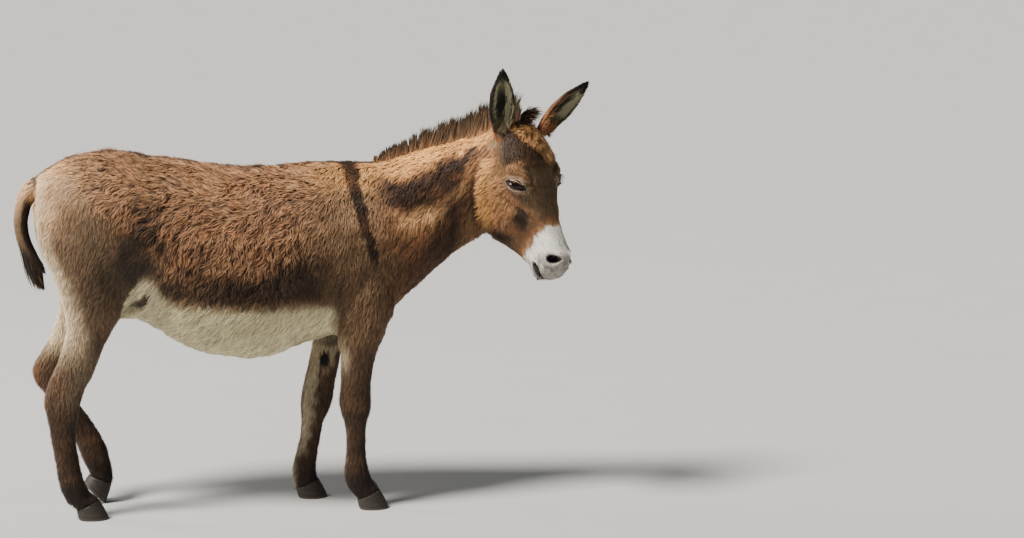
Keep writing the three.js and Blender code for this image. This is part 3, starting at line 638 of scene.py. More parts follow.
def coatLie(points, normals, shares):
    # the way the hair lies, along the surface: the zones' directions mixed, then turned a little by noise
    z = points[:, 2:3]
    nose, left, brow = headAxes.T
    head = bodyToHead(points)
    up = np.array([0.0, 0, 1])
    ahead = np.array([1.0, 0, 0])
    low = ramp(1060, 760, z)
    croup = ramp(1010, 1120, z)
    ways = {
        "barrel": -ahead * (0.75 - 0.5 * low) - up * (0.35 + 0.65 * low),
        "haunch": -ahead * (0.35 + 0.6 * croup) - up * (0.95 - 0.6 * croup),
        "shoulder": -ahead * 0.28 - up * 0.95,
        "belly": -ahead * 0.55 - up * 0.6,
        "neck": -ahead * 0.5 - up * 0.85,
        "upperLeg": -ahead * 0.12 - up,
        "lowerLeg": -ahead * 0.1 - up,
        "forehead": nose * 0.9 - left * 0.1 - brow * 0.2,
        "fringe": nose * 0.75 - left * 0.45 + brow * 0.1,
        "face": nose * 0.95 - brow * 0.22,
        "cheek": nose * 0.35 - brow * 0.95,
        "muzzle": nose * 0.9 - brow * 0.35,
    }
    way = sum(shares[:, i:i + 1] * np.broadcast_to(ways[name], points.shape)
              for i, name in enumerate(zoneNames))
    onHead = shares[:, firstHeadZone:].sum(1, keepdims=True)
    for side in (-1, 1):
        away = head - eyeFrame(side)[1]
        near = hill(np.linalg.norm(away, axis=1), 30, 22)[:, None] * onHead
        way = mix(way, unit(away) @ headAxes.T, np.clip(near * 0.8, 0, 1))
    wild = zoneValue(shares, "wave")
    across = unit(np.cross(normals, way))
    turn = cloud(points, 65, 3) * 0.8 + cloud(points, 24, 4) * 0.8 + cloud(points, 9, 5) * 0.5
    way = unit(way) + across * (turn * wild * 2.2)[:, None]
    return unit(without(way, normals))


# colours by the places where a donkey carries them; flank, under and the neck's dark band are painted shade,
# throat partly painted shade, and croup, crest and ridge are also painted on as highlight
coatColours = {
    "barrel": "#6f503a", "haunch": "#7c654e", "croup": "#d2a67c", "flank": "#34281c", "shoulder": "#775c43",
    "belly": "#d4c89f", "neck": "#7d5233", "crest": "#e8a862", "paintedShade": "#2b1b11", "ridge": "#dcaa76",
    "chest": "#6e4c35", "throat": "#402c1f", "stripe": "#271911", "upperLeg": "#55402f",
    "lowerLeg": "#483527", "pastern": "#271d18", "grey": "#7d7166", "innerLeg": "#b3a487",
    "buttock": "#e8cfa8", "forehead": "#3d2a1b", "fringe": "#a47a4e", "faceDark": "#645038",
    "cheek": "#946844", "jaw": "#65472f", "patch": "#2a1c14", "rufous": "#7f5133", "muzzle": "#f6f0e5",
    "lips": "#7c746a", "slate": "#8d9196", "nostril": "#1d1817", "eyeRing": "#b8a086", "lid": "#231b18",
    "earBack": "#63432f", "earBase": "#8c5935", "earRim": "#1a1412", "earInside": "#7d775c",
    "earDeep": "#1b1613", "earHair": "#c4bc97", "mane": "#705b47", "tail": "#735c45", "under": "#2c1f14",
    "switch": "#261d19", "tan": "#b98d62",
}
paint = {name: linear(text) for name, text in coatColours.items()}


def over(colour, name, share):
    # the colour moved towards a named one by the share
    return colour + (paint[name] - colour) * np.clip(share, 0, 1)[:, None]


# where the band of painted shade along the neck, the ridge above it and the shoulder stripe run: knots, then
# the values at them
markings = {
    "shadeBandMiddle": ([555, 608, 640, 669, 706, 735, 766, 800, 832],
                   [1030, 1010, 1016, 1022, 1028, 1050, 1070, 1102, 1130]),
    "shadeBandHalf": ([520, 577, 608, 640, 669, 735, 766, 800, 832], [46, 40, 48, 56, 62, 60, 56, 36, 30]),
    "ridge": ([571, 601, 637, 704, 765, 800, 830], [950, 932, 932, 950, 984, 1026, 1066]),
    "stripeMiddle": ([780, 810, 873, 936, 997, 1054, 1091], [517, 513, 502, 478, 464, 456, 452]),
    "stripeHalf": ([780, 810, 873, 936, 997, 1054, 1091], [5, 11, 14, 16, 20, 23, 28]),
}
chestnuts = ((432, -70, 436), (366, 57, 462))   # the bare horny patch inside each foreleg


def markAt(name, x):
    # a marking's height, place or half width at x
    return np.interp(x, *markings[name])


def namedZones(shares):
    # the shares by the zones' names, and the sums for the whole trunk, legs and head
    zone = {name: shares[:, i] for i, name in enumerate(zoneNames)}
    zone["trunk"] = zone["barrel"] + zone["haunch"] + zone["shoulder"] + zone["belly"] + zone["neck"]
    zone["legs"] = zone["upperLeg"] + zone["lowerLeg"]
    zone["head"] = zone["forehead"] + zone["fringe"] + zone["face"] + zone["cheek"] + zone["muzzle"]
    return zone


def lowFlank(points, rough):
    # 1 low on the flank, 0 high on it, with a higher edge towards the shoulder
    rise = ramp(120, 300, points[:, 0])
    return drop(725 + 55 * rise, 900 + 55 * rise, points[:, 2] + 25 * rough)


# each paint function gives names of colours with their shares at the points, in the order of painting


def trunkPaint(points, normals, zone, noise):
    # pale croup and topline, partly painted highlight; painted shade on the flank, thigh, low flank and rear
    # belly, in the elbow and stifle folds, the crease before the haunch and the buttocks' cleft; buttocks;
    # neck band of painted shade with the pale ridge, partly painted highlight; throat, partly painted shade;
    # underside
    x, y, z = points.T
    rough, fine, _ = noise
    trunk = zone["trunk"]
    outer = np.abs(normals[:, 1])
    # paler croup, paler towards its top: pale hair, partly painted highlight
    yield "croup", zone["haunch"] * ramp(-400, -500, x) * ramp(890, 985, z + 25 * rough) * 0.75
    yield "croup", zone["haunch"] * ramp(960, 1080, z) * 0.7
    # painted shade in the cleft between the buttocks, grey then dark
    cleft = hill(y, 2, 30) * drop(-500, -470, x) * ramp(760, 820, z) * drop(990, 1020, z)
    yield "grey", trunk * cleft
    yield "earDeep", trunk * cleft * 0.75
    # paler along the top of the haunch: partly painted highlight
    yield "crest", zone["haunch"] * ramp(1075, 1110, z + 12 * rough) * 0.45
    # painted shade on the flank before the thigh and, weaker, on the thigh
    flank = hill(x, -235, 105) * hill(z, 850 + 0.3 * (x + 255), 175)
    yield "flank", (zone["haunch"] + zone["barrel"]) * np.minimum(1, 1.15 * flank)
    thigh = hill(x, -345, 95) * hill(z, 770, 150)
    yield "flank", zone["haunch"] * thigh * 0.6
    # painted shade low on the flank and shoulder above the pale belly, weaker towards the elbow
    low = lowFlank(points, rough)
    dark = 0.93 - 0.5 * ramp(300, 420, x)
    yield "under", (zone["barrel"] + zone["shoulder"]) * low * ramp(-330, -200, x) * dark
    # paler along the tops of the shoulder and barrel: partly painted highlight
    yield "crest", zone["shoulder"] * ramp(1000, 1075, z + 12 * rough) * 0.55
    yield "tan", zone["barrel"] * ramp(985, 1060, z + 15 * rough) * 0.12
    behindThigh = drop(-520, -440, x - 0.3 * (860 - z) + 12 * rough) * ramp(460, 650, z + 14 * rough)
    behindThigh = behindThigh * drop(770, 850, z)
    yield "buttock", (zone["haunch"] + legShare(points) * (x < 0)) * behindThigh * 0.9
    backward = ramp(0.35, 0.9, -normals[:, 0] + 0.2 * rough) * drop(-440, -380, x) * ramp(640, 720, z)
    backward = backward * (1 - 0.45 * ramp(800, 900, z))
    yield "buttock", zone["haunch"] * backward * drop(0.2, 0.7, cleft) * 0.8
    # painted shade on the rear of the belly, between the hind legs
    yield "innerLeg", zone["belly"] * drop(-170, -60, x) * 0.7
    # a mid brown band along the top of the belly: the soft lower edge of the painted shade
    edge = hill(z - bellyLine(x) + 8 * rough, 0, 20) * ramp(-190, -120, x) * drop(370, 400, x)
    yield "shoulder", (zone["belly"] + zone["barrel"] + zone["shoulder"]) * edge * 0.35
    # painted shade in the fold behind the elbow
    elbow = hill(x, 400 + 0.12 * (z - 690), 20) * hill(z, 700, 75)
    yield "flank", (zone["barrel"] + zone["shoulder"]) * elbow * 0.65
    # painted shade in the crease between the haunch and the barrel
    creaseShade = hill(x, -190, 55) * hill(z, 985, 85)
    yield "flank", (zone["haunch"] + zone["barrel"]) * creaseShade * 0.6
    # painted shade in the fold before the thigh
    fold = hill(z - 655 - 0.95 * (x + 254), 0, 24) * ramp(-300, -280, x) * drop(-205, -180, x)
    yield "paintedShade", np.minimum(1, trunk + legShare(points)) * ramp(0.15, 0.6, fold)
    yield "chest", zone["neck"] * drop(820, 950, z) * 0.7
    shadeBand = (z - markAt("shadeBandMiddle", x) + 4 * rough + 4 * fine) / markAt("shadeBandHalf", x)
    # paler hair along the top of the neck above the shade band: partly painted highlight
    yield "crest", zone["neck"] * ramp(0.7, 1.6, shadeBand) * 0.95
    # painted shade: a dark band along the side of the neck below the crest
    neckSide = (zone["neck"] + zone["shoulder"]) * ramp(490, 580, x) * ramp(0.2, 0.6, outer)
    yield "paintedShade", neckSide * drop(0.72, 1.25, np.abs(shadeBand)) * 0.97
    # pale strip along the neck's muscle ridge: partly painted highlight
    ridgeZ = markAt("ridge", x)
    ridge = hill(z - ridgeZ + 6 * fine, 0, 28) * ramp(550, 600, x) * np.minimum(1, outer * 1.5)
    yield "ridge", zone["neck"] * ridge * drop(800, 835, x)
    # darker hair low on the neck and throat: partly painted shade
    below = z - ridgeZ + 105 - 55 * ramp(640, 740, x)
    yield "throat", zone["neck"] * drop(-45, 25, below) * (0.8 + 0.15 * ramp(640, 740, x))
    yield "belly", trunk * drop(-0.9, -0.45, normals[:, 2]) * drop(540, 620, x) * 0.9


def stripePaint(points, normals, zone, noise):
    # the stripe down the shoulder and the one along the back
    x, y, z = points.T
    rough, fine, _ = noise
    trunk = zone["trunk"]
    across = np.abs(x - markAt("stripeMiddle", z) + 5 * fine) / markAt("stripeHalf", z)
    cross = drop(0.75, 1.25, across) * ramp(770, 830, z + 15 * rough)
    yield "stripe", trunk * cross * 0.93
    spine = drop(12, 24, np.abs(y + np.where(x > 560, 0.16 * (x - 560), 0)) + 5 * fine)
    spine = spine * ramp(0.3, 0.7, normals[:, 2]) * drop(540, 620, x)
    yield "stripe", trunk * spine * 0.9


def legPaint(points, normals, zone, noise):
    # pale inner sides and rear edges, dark fronts, pasterns and chestnuts
    x, y, z = points.T
    rough, fine, _ = noise
    leg = zone["legs"]
    inner = ramp(0.1, 0.7, -normals[:, 1] * np.sign(y))
    fore, ahead = (x > 0) * 1.0, normals[:, 0] + 0.15 * fine
    high = ramp(400, 470, z + 12 * rough)
    yield "innerLeg", leg * fore * inner * high * drop(0.2, 0.6, ahead)
    yield "innerLeg", leg * fore * inner * drop(-0.35, 0.05, ahead) * ramp(130, 190, z)
    yield "patch", leg * fore * inner * ramp(500, 515, z + 5 * fine) * drop(535, 550, z) * 0.8
    yield "buttock", leg * (1 - fore) * inner * ramp(470, 570, z) * 0.35
    rear = ramp(0.2, 0.85, -normals[:, 0]) * ramp(420, 520, z)
    yield "buttock", leg * rear * fore * 0.7
    yield "buttock", leg * rear * (1 - fore) * ramp(520, 620, z) * 0.75
    shin = hill(z, 440, 85) * ramp(-0.5, 0.3, ahead) * (1 - inner)
    yield "innerLeg", leg * (1 - fore) * shin * 0.2
    yield "rufous", leg * (1 - fore) * inner * ramp(0.3, 0.8, -ahead) * hill(z, 440, 50) * 0.8
    yield "jaw", leg * ramp(0.1, 0.7, cloud(points, 24, 19) + 0.1) * drop(430, 520, z) * 0.35
    yield "pastern", leg * ramp(0.3, 0.9, normals[:, 0]) * drop(440, 540, z) * 0.55
    yield "pastern", leg * drop(95, 175, z + 14 * rough) * 0.85
    for place in chestnuts:
        apart = (points - np.array(place)) / np.array([20, 16, 28])
        yield "nostril", leg * drop(0.75, 1.15, np.linalg.norm(apart, axis=1) + 0.1 * fine)
        above = z - place[2]
        streak = hill(x, place[0] - 14, 4) * ramp(-75, -55, above) * drop(-30, 0, above)
        yield "patch", leg * inner * streak * 0.8


def headPaint(points, normals, zone, noise):
    # temple, cheek bone, painted shadow behind the jaw, painted highlight on the cheek's rear edge, painted
    # shade in the furrow and partly low on the jaw, grizzled face and its dark patches
    head = bodyToHead(points)
    hx, hy, hz = head.T
    rough, fine, grizzle = noise
    onHead = zone["head"]
    off = np.abs(hy)
    faceOrCheek = zone["face"] + zone["cheek"]
    temple = ramp(-34, -60, hz) * drop(110, 170, hx) * ramp(30, 70, off)
    yield "cheek", (zone["forehead"] + zone["face"]) * temple * 0.9
    crest = crestDistance(head)
    bone = hill(crest, 0, 13) * ramp(185, 215, hx) * drop(285, 325, hx) * ramp(25, 55, off)
    yield "cheek", onHead * bone * 0.85
    lower = ramp(0, 26, -crest) * ramp(170, 200, hx)
    upper = hill(crest, 26, 15) * ramp(190, 230, hx) * drop(290, 320, hx) * ramp(25, 55, off)
    yield "faceDark", onHead * upper * 0.8
    # painted shadow of the head on the neck behind the jaw's edge, over dark hair
    jaw = jawDistance(head) - 17
    behind = drop(-15, -8, jaw) * ramp(-130, -70, jaw + 10 * fine) * ramp(60, 150, hx)
    behind = behind * drop(290, 340, hx) * ramp(30, 60, off)
    yield "paintedShade", (onHead + zone["neck"]) * behind * 0.95
    # painted highlight along the cheek's rear edge
    yield "crest", zone["cheek"] * hill(jaw, 5, 16) * ramp(40, 90, hx) * drop(225, 270, hx)
    besides = ramp(70, 86, off) * ramp(92, 122, hx) * drop(205, 235, hx) * ramp(-90, -60, hz)
    yield "cheek", onHead * besides * 0.85
    tuft = hill(hx, 20, 10) * hill(hz, -48, 12) * ramp(55, 80, off)
    yield "belly", (onHead + zone["neck"]) * tuft * 0.75
    yield "jaw", zone["face"] * ramp(0.1, 0.7, grizzle) * 0.4
    yield "patch", zone["face"] * ramp(0.1, 0.7, -grizzle) * 0.4
    yield "grey", zone["face"] * hill(cloud(points, 5, 23), 0.5, 0.2) * 0.3
    yield "jaw", zone["face"] * lower * ramp(-190, -150, hz) * 0.7
    yield "cheek", zone["face"] * ramp(-30, -60, hz) * drop(200, 250, hx) * 0.85
    yield "tan", faceOrCheek * hill(hz, -120, 50) * hill(hx, 120, 60) * 0.35
    # painted shade in the furrow on the side of the face
    furrow = hill(hx - 112 + 0.7 * (hz + 70), 0, 9) * hill(hz, -78, 34)
    yield "jaw", onHead * furrow * 0.8
    yield "rufous", faceOrCheek * hill(hx, whiteEdge(hz) - 20, 17) * (0.45 + 0.7 * fine)
    yield "tan", faceOrCheek * hill(hx, whiteEdge(hz) - 6, 14) * (0.6 + 0.6 * grizzle)
    # darker low on the jaw: partly painted shade
    yield "jaw", zone["cheek"] * drop(-215, -150, hz + 15 * rough) * 0.8
    patchOne = hill(hx + 0.5 * (hz + 64) + 8 * fine, 280, 38) * hill(hz + 5 * fine, -74, 42)
    patchTwo = hill(hx - 0.35 * (hz + 180) + 8 * fine, 298, 31) * hill(hz, -185, 50)
    dark = ramp(0.12, 0.85, np.maximum(patchOne, patchTwo) + 0.16 * grizzle + 0.1 * fine)
    yield "patch", faceOrCheek * dark
    redder = hill(hx - 0.4 * (hz + 120), 300, 26) * hill(hz, -125, 50)
    yield "rufous", faceOrCheek * redder * (0.5 + 0.5 * grizzle)


def rimPaint(points, normals, zone, noise):
    # pale rings and dark lids round the eyes, painted shade in the fold round them and painted highlight on
    # the brow; grey rims and dark insides of the nostrils, the insides partly painted shade
    head = bodyToHead(points)
    onHead = zone["head"]
    for side in (-1, 1):
        local = localPoints(head, eyeFrame(side))
        edge = eyeEdge(local)
        front = (local[:, 2] > -2) * onHead
        inner = ramp(-8, 8, local[:, 0])
        above = ramp(-2, 8, local[:, 1])
        # painted shade in the fold between the lids and the brow
        yield "jaw", front * hill(edge, 12, 4.5) * 0.5
        # painted highlight on the brow above the eye
        yield "tan", front * above * hill(edge, 21, 5) * 0.55
        yield "eyeRing", front * hill(edge, 6.2 + 2.2 * inner, 3.0 + 2.2 * inner) * 0.9
        corner = 2.4 + 5.0 * ramp(17, 26, np.abs(local[:, 0]))
        yield "lid", front * drop(corner - 1.0, corner + 1.0, edge)
        local = localPoints(head, nostrilFrame(side))
        ring, bend = nostrilRing(local, side)
        front = (np.abs(local[:, 2]) < 40) & (head[:, 1] * side > -6)
        yield "lips", onHead * front * drop(1.15, 1.9, ring) * 0.6
        yield "grey", onHead * front * hill(ring, 1.72, 0.16) * ramp(-10, 10, bend) * 0.7
        # dark inside the nostril: partly dark skin, partly painted shade in its depth
        yield "nostril", onHead * front * drop(0.66, 1.0, ring)


def muzzlePaint(points, normals, zone, noise):
    # slate grey streaks on the pale muzzle, greyer towards the head's left side as painted shade; lips, and
    # painted shade in the gap between them
    head = bodyToHead(points)
    hx, hy, _ = head.T
    _, fine, grizzle = noise
    onHead = zone["head"]
    # grey streaks, greyer towards the head's left side as painted shade
    slate = ramp(-0.3, 0.6, 0.5 * grizzle + 0.5 * fine + 0.014 * (hy - 4)) * ramp(345, 400, hx)
    yield "slate", zone["muzzle"] * slate * 0.65
    streak = ramp(0.2, 0.7, cloud(head * np.array([0.35, 1.0, 1.0]), 5, 24))
    yield "lips", zone["muzzle"] * streak * ramp(345, 375, hx) * (0.45 + 0.4 * ramp(395, 440, hx))
    yield "lips", zone["muzzle"] * ramp(428, 470, hx + 6 * grizzle) * 0.65
    height = mouthHeight(head)
    gap = 5.0 + 9.0 * hill(hx, 446, 26)
    yield "lips", onHead * hill(height, 1, gap + 6) * ramp(420, 440, hx) * 0.75
    # painted shade in the gap between the lips
    yield "nostril", onHead * drop(0.75, 1.2, np.abs(height + 2) / gap) * ramp(416, 428, hx)


def coatColour(points, normals, shares):
    # base colour of the hair at each point: the zones' colours mixed, painted over (painted shade and painted
    # highlight among the paints), then made uneven
    names = {"face": "faceDark"}
    colour = sum(shares[:, i:i + 1] * paint[names.get(name, name)] for i, name in enumerate(zoneNames))
    zone = namedZones(shares)
    noise = rough, fine, _ = cloud(points, 45, 11), cloud(points, 14, 12), cloud(points, 7, 22)
    for painter in (trunkPaint, stripePaint, legPaint, headPaint, rimPaint, muzzlePaint):
        for name, share in painter(points, normals, zone, noise):
            colour = over(colour, name, share)
    woolly = zone["barrel"] + 0.5 * zone["shoulder"] + 0.6 * zone["neck"] + 0.4 * zone["haunch"]
    redder = woolly * ramp(0.0, 0.8, cloud(points, 30, 26)) * 0.4 * (1 - lowFlank(points, rough))
    colour = over(colour, "rufous", redder)
    uneven = 0.12 * rough + 0.10 * fine + 0.25 * woolly * cloud(points, 75, 25)
    return colour * (1 + uneven)[:, None]


def bareShare(points, shares):
    # how hairless the hide is, from 0 to 1: at the lids, round the nostrils and along the lips
    head = bodyToHead(points)
    bare = np.zeros(len(points))
    for side in (-1, 1):
        local = localPoints(head, eyeFrame(side))
        bare = np.maximum(bare, drop(4, 11, eyeEdge(local)) * (local[:, 2] > -4))
        local = localPoints(head, nostrilFrame(side))
        reach = np.hypot(local[:, 0] * 1.4, local[:, 1])
        bare = np.maximum(bare, drop(26, 40, reach) * (np.abs(local[:, 2]) < 45))
    lips = drop(7, 16, np.abs(mouthHeight(head))) * ramp(412, 430, head[:, 0])
    return np.maximum(bare, lips * shares[:, zoneNames.index("muzzle")])


def shapeLimbs(points, normals):
    # a hollow in the front of each forearm; rounder buttocks with a cleft between them
    x, y, z = points.T
    forearm = hill(z, 590, 45) * ramp(0.3, 0.9, normals[:, 0]) * (x > 480)
    points[:, 0] -= 9 * forearm
    rump = (points[:, 0] < -440) * ramp(780, 850, z) * drop(970, 1020, z) * ramp(0.3, 0.9, -normals[:, 0])
    halves = (7 + 11 * (y > 0)) * hill(np.abs(y), 88, 42) - 16 * hill(y, 0, 20)
    points[:, 0] -= rump * halves
    return points


# the hide's outside as the coat shows it, then the skin itself, lower by the depth of the coat
sculpted = sculptHead(fleshPoints, vertexNormals(fleshPoints, fleshTriangles))
sculptedNormals = vertexNormals(sculpted, fleshTriangles)
skinZones = zoneShares(sculpted)
bare = bareShare(sculpted, skinZones)
sculpted = shapeLimbs(sculpted, sculptedNormals)
sculptedNormals = vertexNormals(sculpted, fleshTriangles)
lumps = cloud(sculpted, 42, 27) * 0.36 + cloud(sculpted, 19, 28) * 0.16
under = zoneValue(skinZones, "depth") * (1 - bare) * (1 + lumps)
skinPoints = sculpted - sculptedNormals * under[:, None]
skinNormals = vertexNormals(skinPoints, fleshTriangles)
skinColours = coatColour(sculpted, sculptedNormals, skinZones)


def hideMaterial():
    # thin haired skin: matt, with pores and fine creases
    material, tree = newMaterial("haired hide")
    tint = addNode(tree, "Attribute", {"attribute_name": "coatColour"})
    place = addNode(tree, "TexCoord")
    pores = addNode(tree, "TexNoise", {"Scale": 420.0, "Detail": 4.0, "Roughness": 0.6},
                    [("Vector", place, "Object")])   # pores and hair roots, about 2.4 mm apart
    creases = addNode(tree, "TexNoise", {"Scale": 95.0, "Detail": 5.0, "Roughness": 0.65},
                      [("Vector", place, "Object")])
    both = addNode(tree, "Math", {"operation": "ADD"},
                   [(0, pores, "Fac"), (1, creases, "Fac")])
    bump = addNode(tree, "Bump", {"Strength": 0.35, "Distance": 0.0012}, [("Height", both, 0)])
    shade = addNode(tree, "MapRange", {"From Min": 0.3, "From Max": 0.7, "To Min": 0.82, "To Max": 1.12},
                    [("Value", creases, "Fac")])
    toned = addNode(tree, "VectorMath", {"operation": "MULTIPLY"},
                    [(0, tint, "Color"), (1, shade, "Result")])
    shader = addNode(tree, "BsdfPrincipled", {"Roughness": 0.62, "Specular IOR Level": 0.3},
                     [("Base Color", toned, 0), ("Normal", bump, "Normal")])
    finishMaterial(tree, shader)
    return material


hide = hideMaterial()
# the skin takes the coat's colours, darkened under the hair as painted shade among the tufts
shown = 0.55 + 0.45 * np.maximum(bare, skinZones[:, zoneNames.index("muzzle")])   # darker under the hair
skin = putMesh("skin", skinPoints, fleshTriangles, hide, colours=skinColours * shown[:, None])
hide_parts(*fleshNodes)
bpy.data.meshes.remove(fleshMade)
print("skin made:", len(fleshTriangles), "triangles")


def hairMaterial(name, roughness, sheen):
    # hair: strands seen as streaks along each tuft, soft gloss on the outer hairs, darker towards the roots
    # by the painted shade in the tufts' colours
    material, tree = newMaterial(name)
    tint = addNode(tree, "Attribute", {"attribute_name": "coatColour"})
    strand = addNode(tree, "Attribute", {"attribute_name": "strand"})
    streaks = addNode(tree, "TexNoise", {"Scale": 3.2, "Detail": 2.0, "Roughness": 0.6},
                      [("Vector", strand, "Vector")])
    shade = addNode(tree, "MapRange", {"From Min": 0.3, "From Max": 0.7, "To Min": 0.62, "To Max": 1.36},
                    [("Value", streaks, "Fac")])
    toned = addNode(tree, "VectorMath", {"operation": "MULTIPLY"},
                    [(0, tint, "Color"), (1, shade, "Result")])
    bump = addNode(tree, "Bump", {"Strength": 0.6, "Distance": 0.0008},
                   [("Height", streaks, "Fac")])
    shader = addNode(tree, "BsdfPrincipled",
                     {"Roughness": roughness, "Specular IOR Level": 0.22, "Sheen Weight": sheen,
                      "Sheen Roughness": 0.45},
                     [("Base Color", toned, 0), ("Normal", bump, "Normal")])
    finishMaterial(tree, shader)
    return material


def cellOrder(points, size):
    # order of the points along a winding walk through small cells (bits of the three cell numbers in turn)
    cell = np.floor((points - points.min(0)) / size).astype(np.int64)
    code = np.zeros(len(points), np.int64)
    for bit in range(9):
        for axis in range(3):
            code |= ((cell[:, axis] >> bit) & 1) << (3 * bit + axis)
    return np.argsort(code, kind="stable")


def scatter(points, triangles, perMm, seed):
    # roots spread evenly: one each time the running total of area times density passes a whole number
    a, b, c = (points[triangles[:, k]] for k in range(3))
    area = np.linalg.norm(np.cross(b - a, c - a), axis=1) / 2
    wanted = area * perMm[triangles].mean(1)
    order = cellOrder((a + b + c) / 3, 7.0)
    total = np.cumsum(wanted[order])
    random = np.random.default_rng(seed)
    marks = np.arange(int(total[-1])) + random.random(int(total[-1])) * 0.9
    chosen = order[np.minimum(np.searchsorted(total, marks), len(order) - 1)]
    u, v = random.random((2, len(chosen)))
    flip = u + v > 1
    u, v = np.where(flip, 1 - u, u), np.where(flip, 1 - v, v)
    return chosen, columns(1 - u - v, u, v)


def blend(values, triangles, chosen, shares):
    # the corners' values mixed by their shares
    return (values[triangles[chosen]] * shares[..., None]).sum(1)


# left and lower edge of each tile, and its scale to a mm
unwrapTiles = {"head": (0.02, 0.55, 0.00078), "trunk": (0.02, 0.02, 0.00042),
               "foreRight": (0.62, 0.55, 0.0006), "foreLeft": (0.80, 0.55, 0.0006),
               "hindRight": (0.62, 0.05, 0.0006), "hindLeft": (0.80, 0.05, 0.0006)}


def unwrapPlace(points):
    # the hide unrolled: each part's angle round its own axis against the length along it, in its own tile
    x, y, z = points.T
    onHead, head = headShare(points)
    leg = legShare(points) > 0.5
    place = np.zeros((len(points), 2))
    middle = 900 + 0.25 * np.maximum(0, x - 500)   # the trunk's axis climbs towards the neck
    parts = {
        "head": (onHead > 0.5, np.arctan2(head[:, 1], head[:, 2] + 60), head[:, 0] + 60, 75),
        "trunk": ((onHead <= 0.5) & ~leg, np.arctan2(y, z - middle), x + 600, 230),
        "foreRight": (leg & (x > 0) & (y < 0), np.arctan2(y + 75, x - 410), z, 45),
        "foreLeft": (leg & (x > 0) & (y >= 0), np.arctan2(y - 75, x - 360), z, 45),
        "hindRight": (leg & (x <= 0) & (y < 0), np.arctan2(y + 105, x + 420), z, 50),
        "hindLeft": (leg & (x <= 0) & (y >= 0), np.arctan2(y - 105, x + 390), z, 50),
    }
    for name, (inside, angle, along, radius) in parts.items():
        left, low, scale = unwrapTiles[name]
        flat = columns(left + (angle + np.pi) * radius * scale * 0.42, low + along * scale)
        place[inside] = flat[inside]
    return np.clip(place, 0.004, 0.996)


def tuftFaces(rings, count):
    # triangles of cones with three corners to a ring and one at the tip, for every tuft
    tip = 3 * rings
    faces = [(2, 1, 0)]
    for ring in range(rings):
        for k in range(3):
            a, b = 3 * ring + k, 3 * ring + (k + 1) % 3
            if ring + 1 < rings:
                faces += [(a, b, b + 3), (a, b + 3, a + 3)]
            else:
                faces.append((a, b, tip))
    return (np.array(faces)[None] + (np.arange(count) * (tip + 1))[:, None, None]).reshape(-1, 3)


def tuftMesh(name, root, normal, way, size, bend, tint, shade, stations, material, flat=None):
    # closed three-sided cones that lie on the surface, shaded mostly as the surface is. For each tuft, size
    # is its length, width, thickness, depth of the root and height of the tip; bend is how far the tip is
    # drawn aside, and the sway; shade is the tint's strength at the root and at the tip; flat is its place on
    # the unrolled hide. The stations are (share of the length, share of the width) from the root up
    count, tip = len(root), 3 * len(stations)
    across = np.cross(normal, way)
    length, width, thick, sink, lift = size.T[:, :, None]
    rings, facing = [], []
    for s, wide in stations:
        height = -sink + (sink + lift) * (1.55 * s - 0.55 * s * s)
        centre = root + way * length * s + normal * height + bend[0] * s * s + bend[1] * np.sin(np.pi * s)
        for left, up in ((1, 0), (0, 1), (-1, 0)):
            rings.append(centre + across * width * 0.5 * wide * left + normal * thick * wide * up)
            facing.append(normal + across * 0.5 * left + way * (0.25 - 0.35 * s))
    rings.append(root + way * length + normal * lift + bend[0])
    facing.append(normal - way * 0.1)
    levels = np.array([s for s, _ in stations for _ in range(3)] + [1.0])[None, :, None]
    strength = shade[:, :1, None] + (shade[:, 1:, None] - shade[:, :1, None]) * levels ** 0.8
    base = unwrapPlace(root) if flat is None else flat
    fan = [(0.0013 * (1 - 0.8 * s), angle) for s, _ in stations for angle in (0.3, 2.4, 4.5)] + [(0.0, 0.0)]
    spread, angle = np.array(fan).T
    spot = spread[:, None] * columns(np.cos(angle), np.sin(angle))
    piece = putMesh(name, np.stack(rings, axis=1).reshape(-1, 3), tuftFaces(len(stations), count), material,
                    colours=(tint[:, None] * strength).reshape(-1, 3),
                    uv=(base[:, None] + spot[None]).reshape(-1, 2))
    facing = unit(np.stack(facing, axis=1).reshape(-1, 3)).astype(np.float32)
    piece.data.normals_split_custom_set_from_vertices(facing)
    number = np.random.default_rng(count).random(count) * 400
    strand = np.zeros((count, tip + 1, 3))
    strand[:, :, 0] = np.array([1.0, 0.2, -1.0] * len(stations) + [0.0]) * 1.1 + number[:, None]
    strand[:, :, 1] = levels[..., 0] * 0.7 + number[:, None] * 0.37
    addVector(piece, "strand", strand)
    return piece


def tuftSizes(outer, shares, zone, random):
    # length, width, thickness, depth of the root and height of the tip: the zones' numbers made uneven
    head = bodyToHead(outer)
    rough = cloud(outer, 70, 21)
    length = zoneValue(shares, "length") * (0.78 + 0.44 * random.random(len(outer))) * (1 + 0.18 * rough)
    jaw = zone["cheek"] * drop(-215, -150, head[:, 2]) * drop(200, 300, head[:, 0])
    length = length * (1 + 0.5 * jaw)
    width = zoneValue(shares, "width") * (0.8 + 0.4 * random.random(len(outer)))
    sink = np.minimum(2.5, 0.4 * zoneValue(shares, "depth"))
    lift = zoneValue(shares, "length") * zoneValue(shares, "arch") * (0.6 + 0.8 * random.random(len(outer)))
    return columns(length, width, width * 0.42, sink, lift)


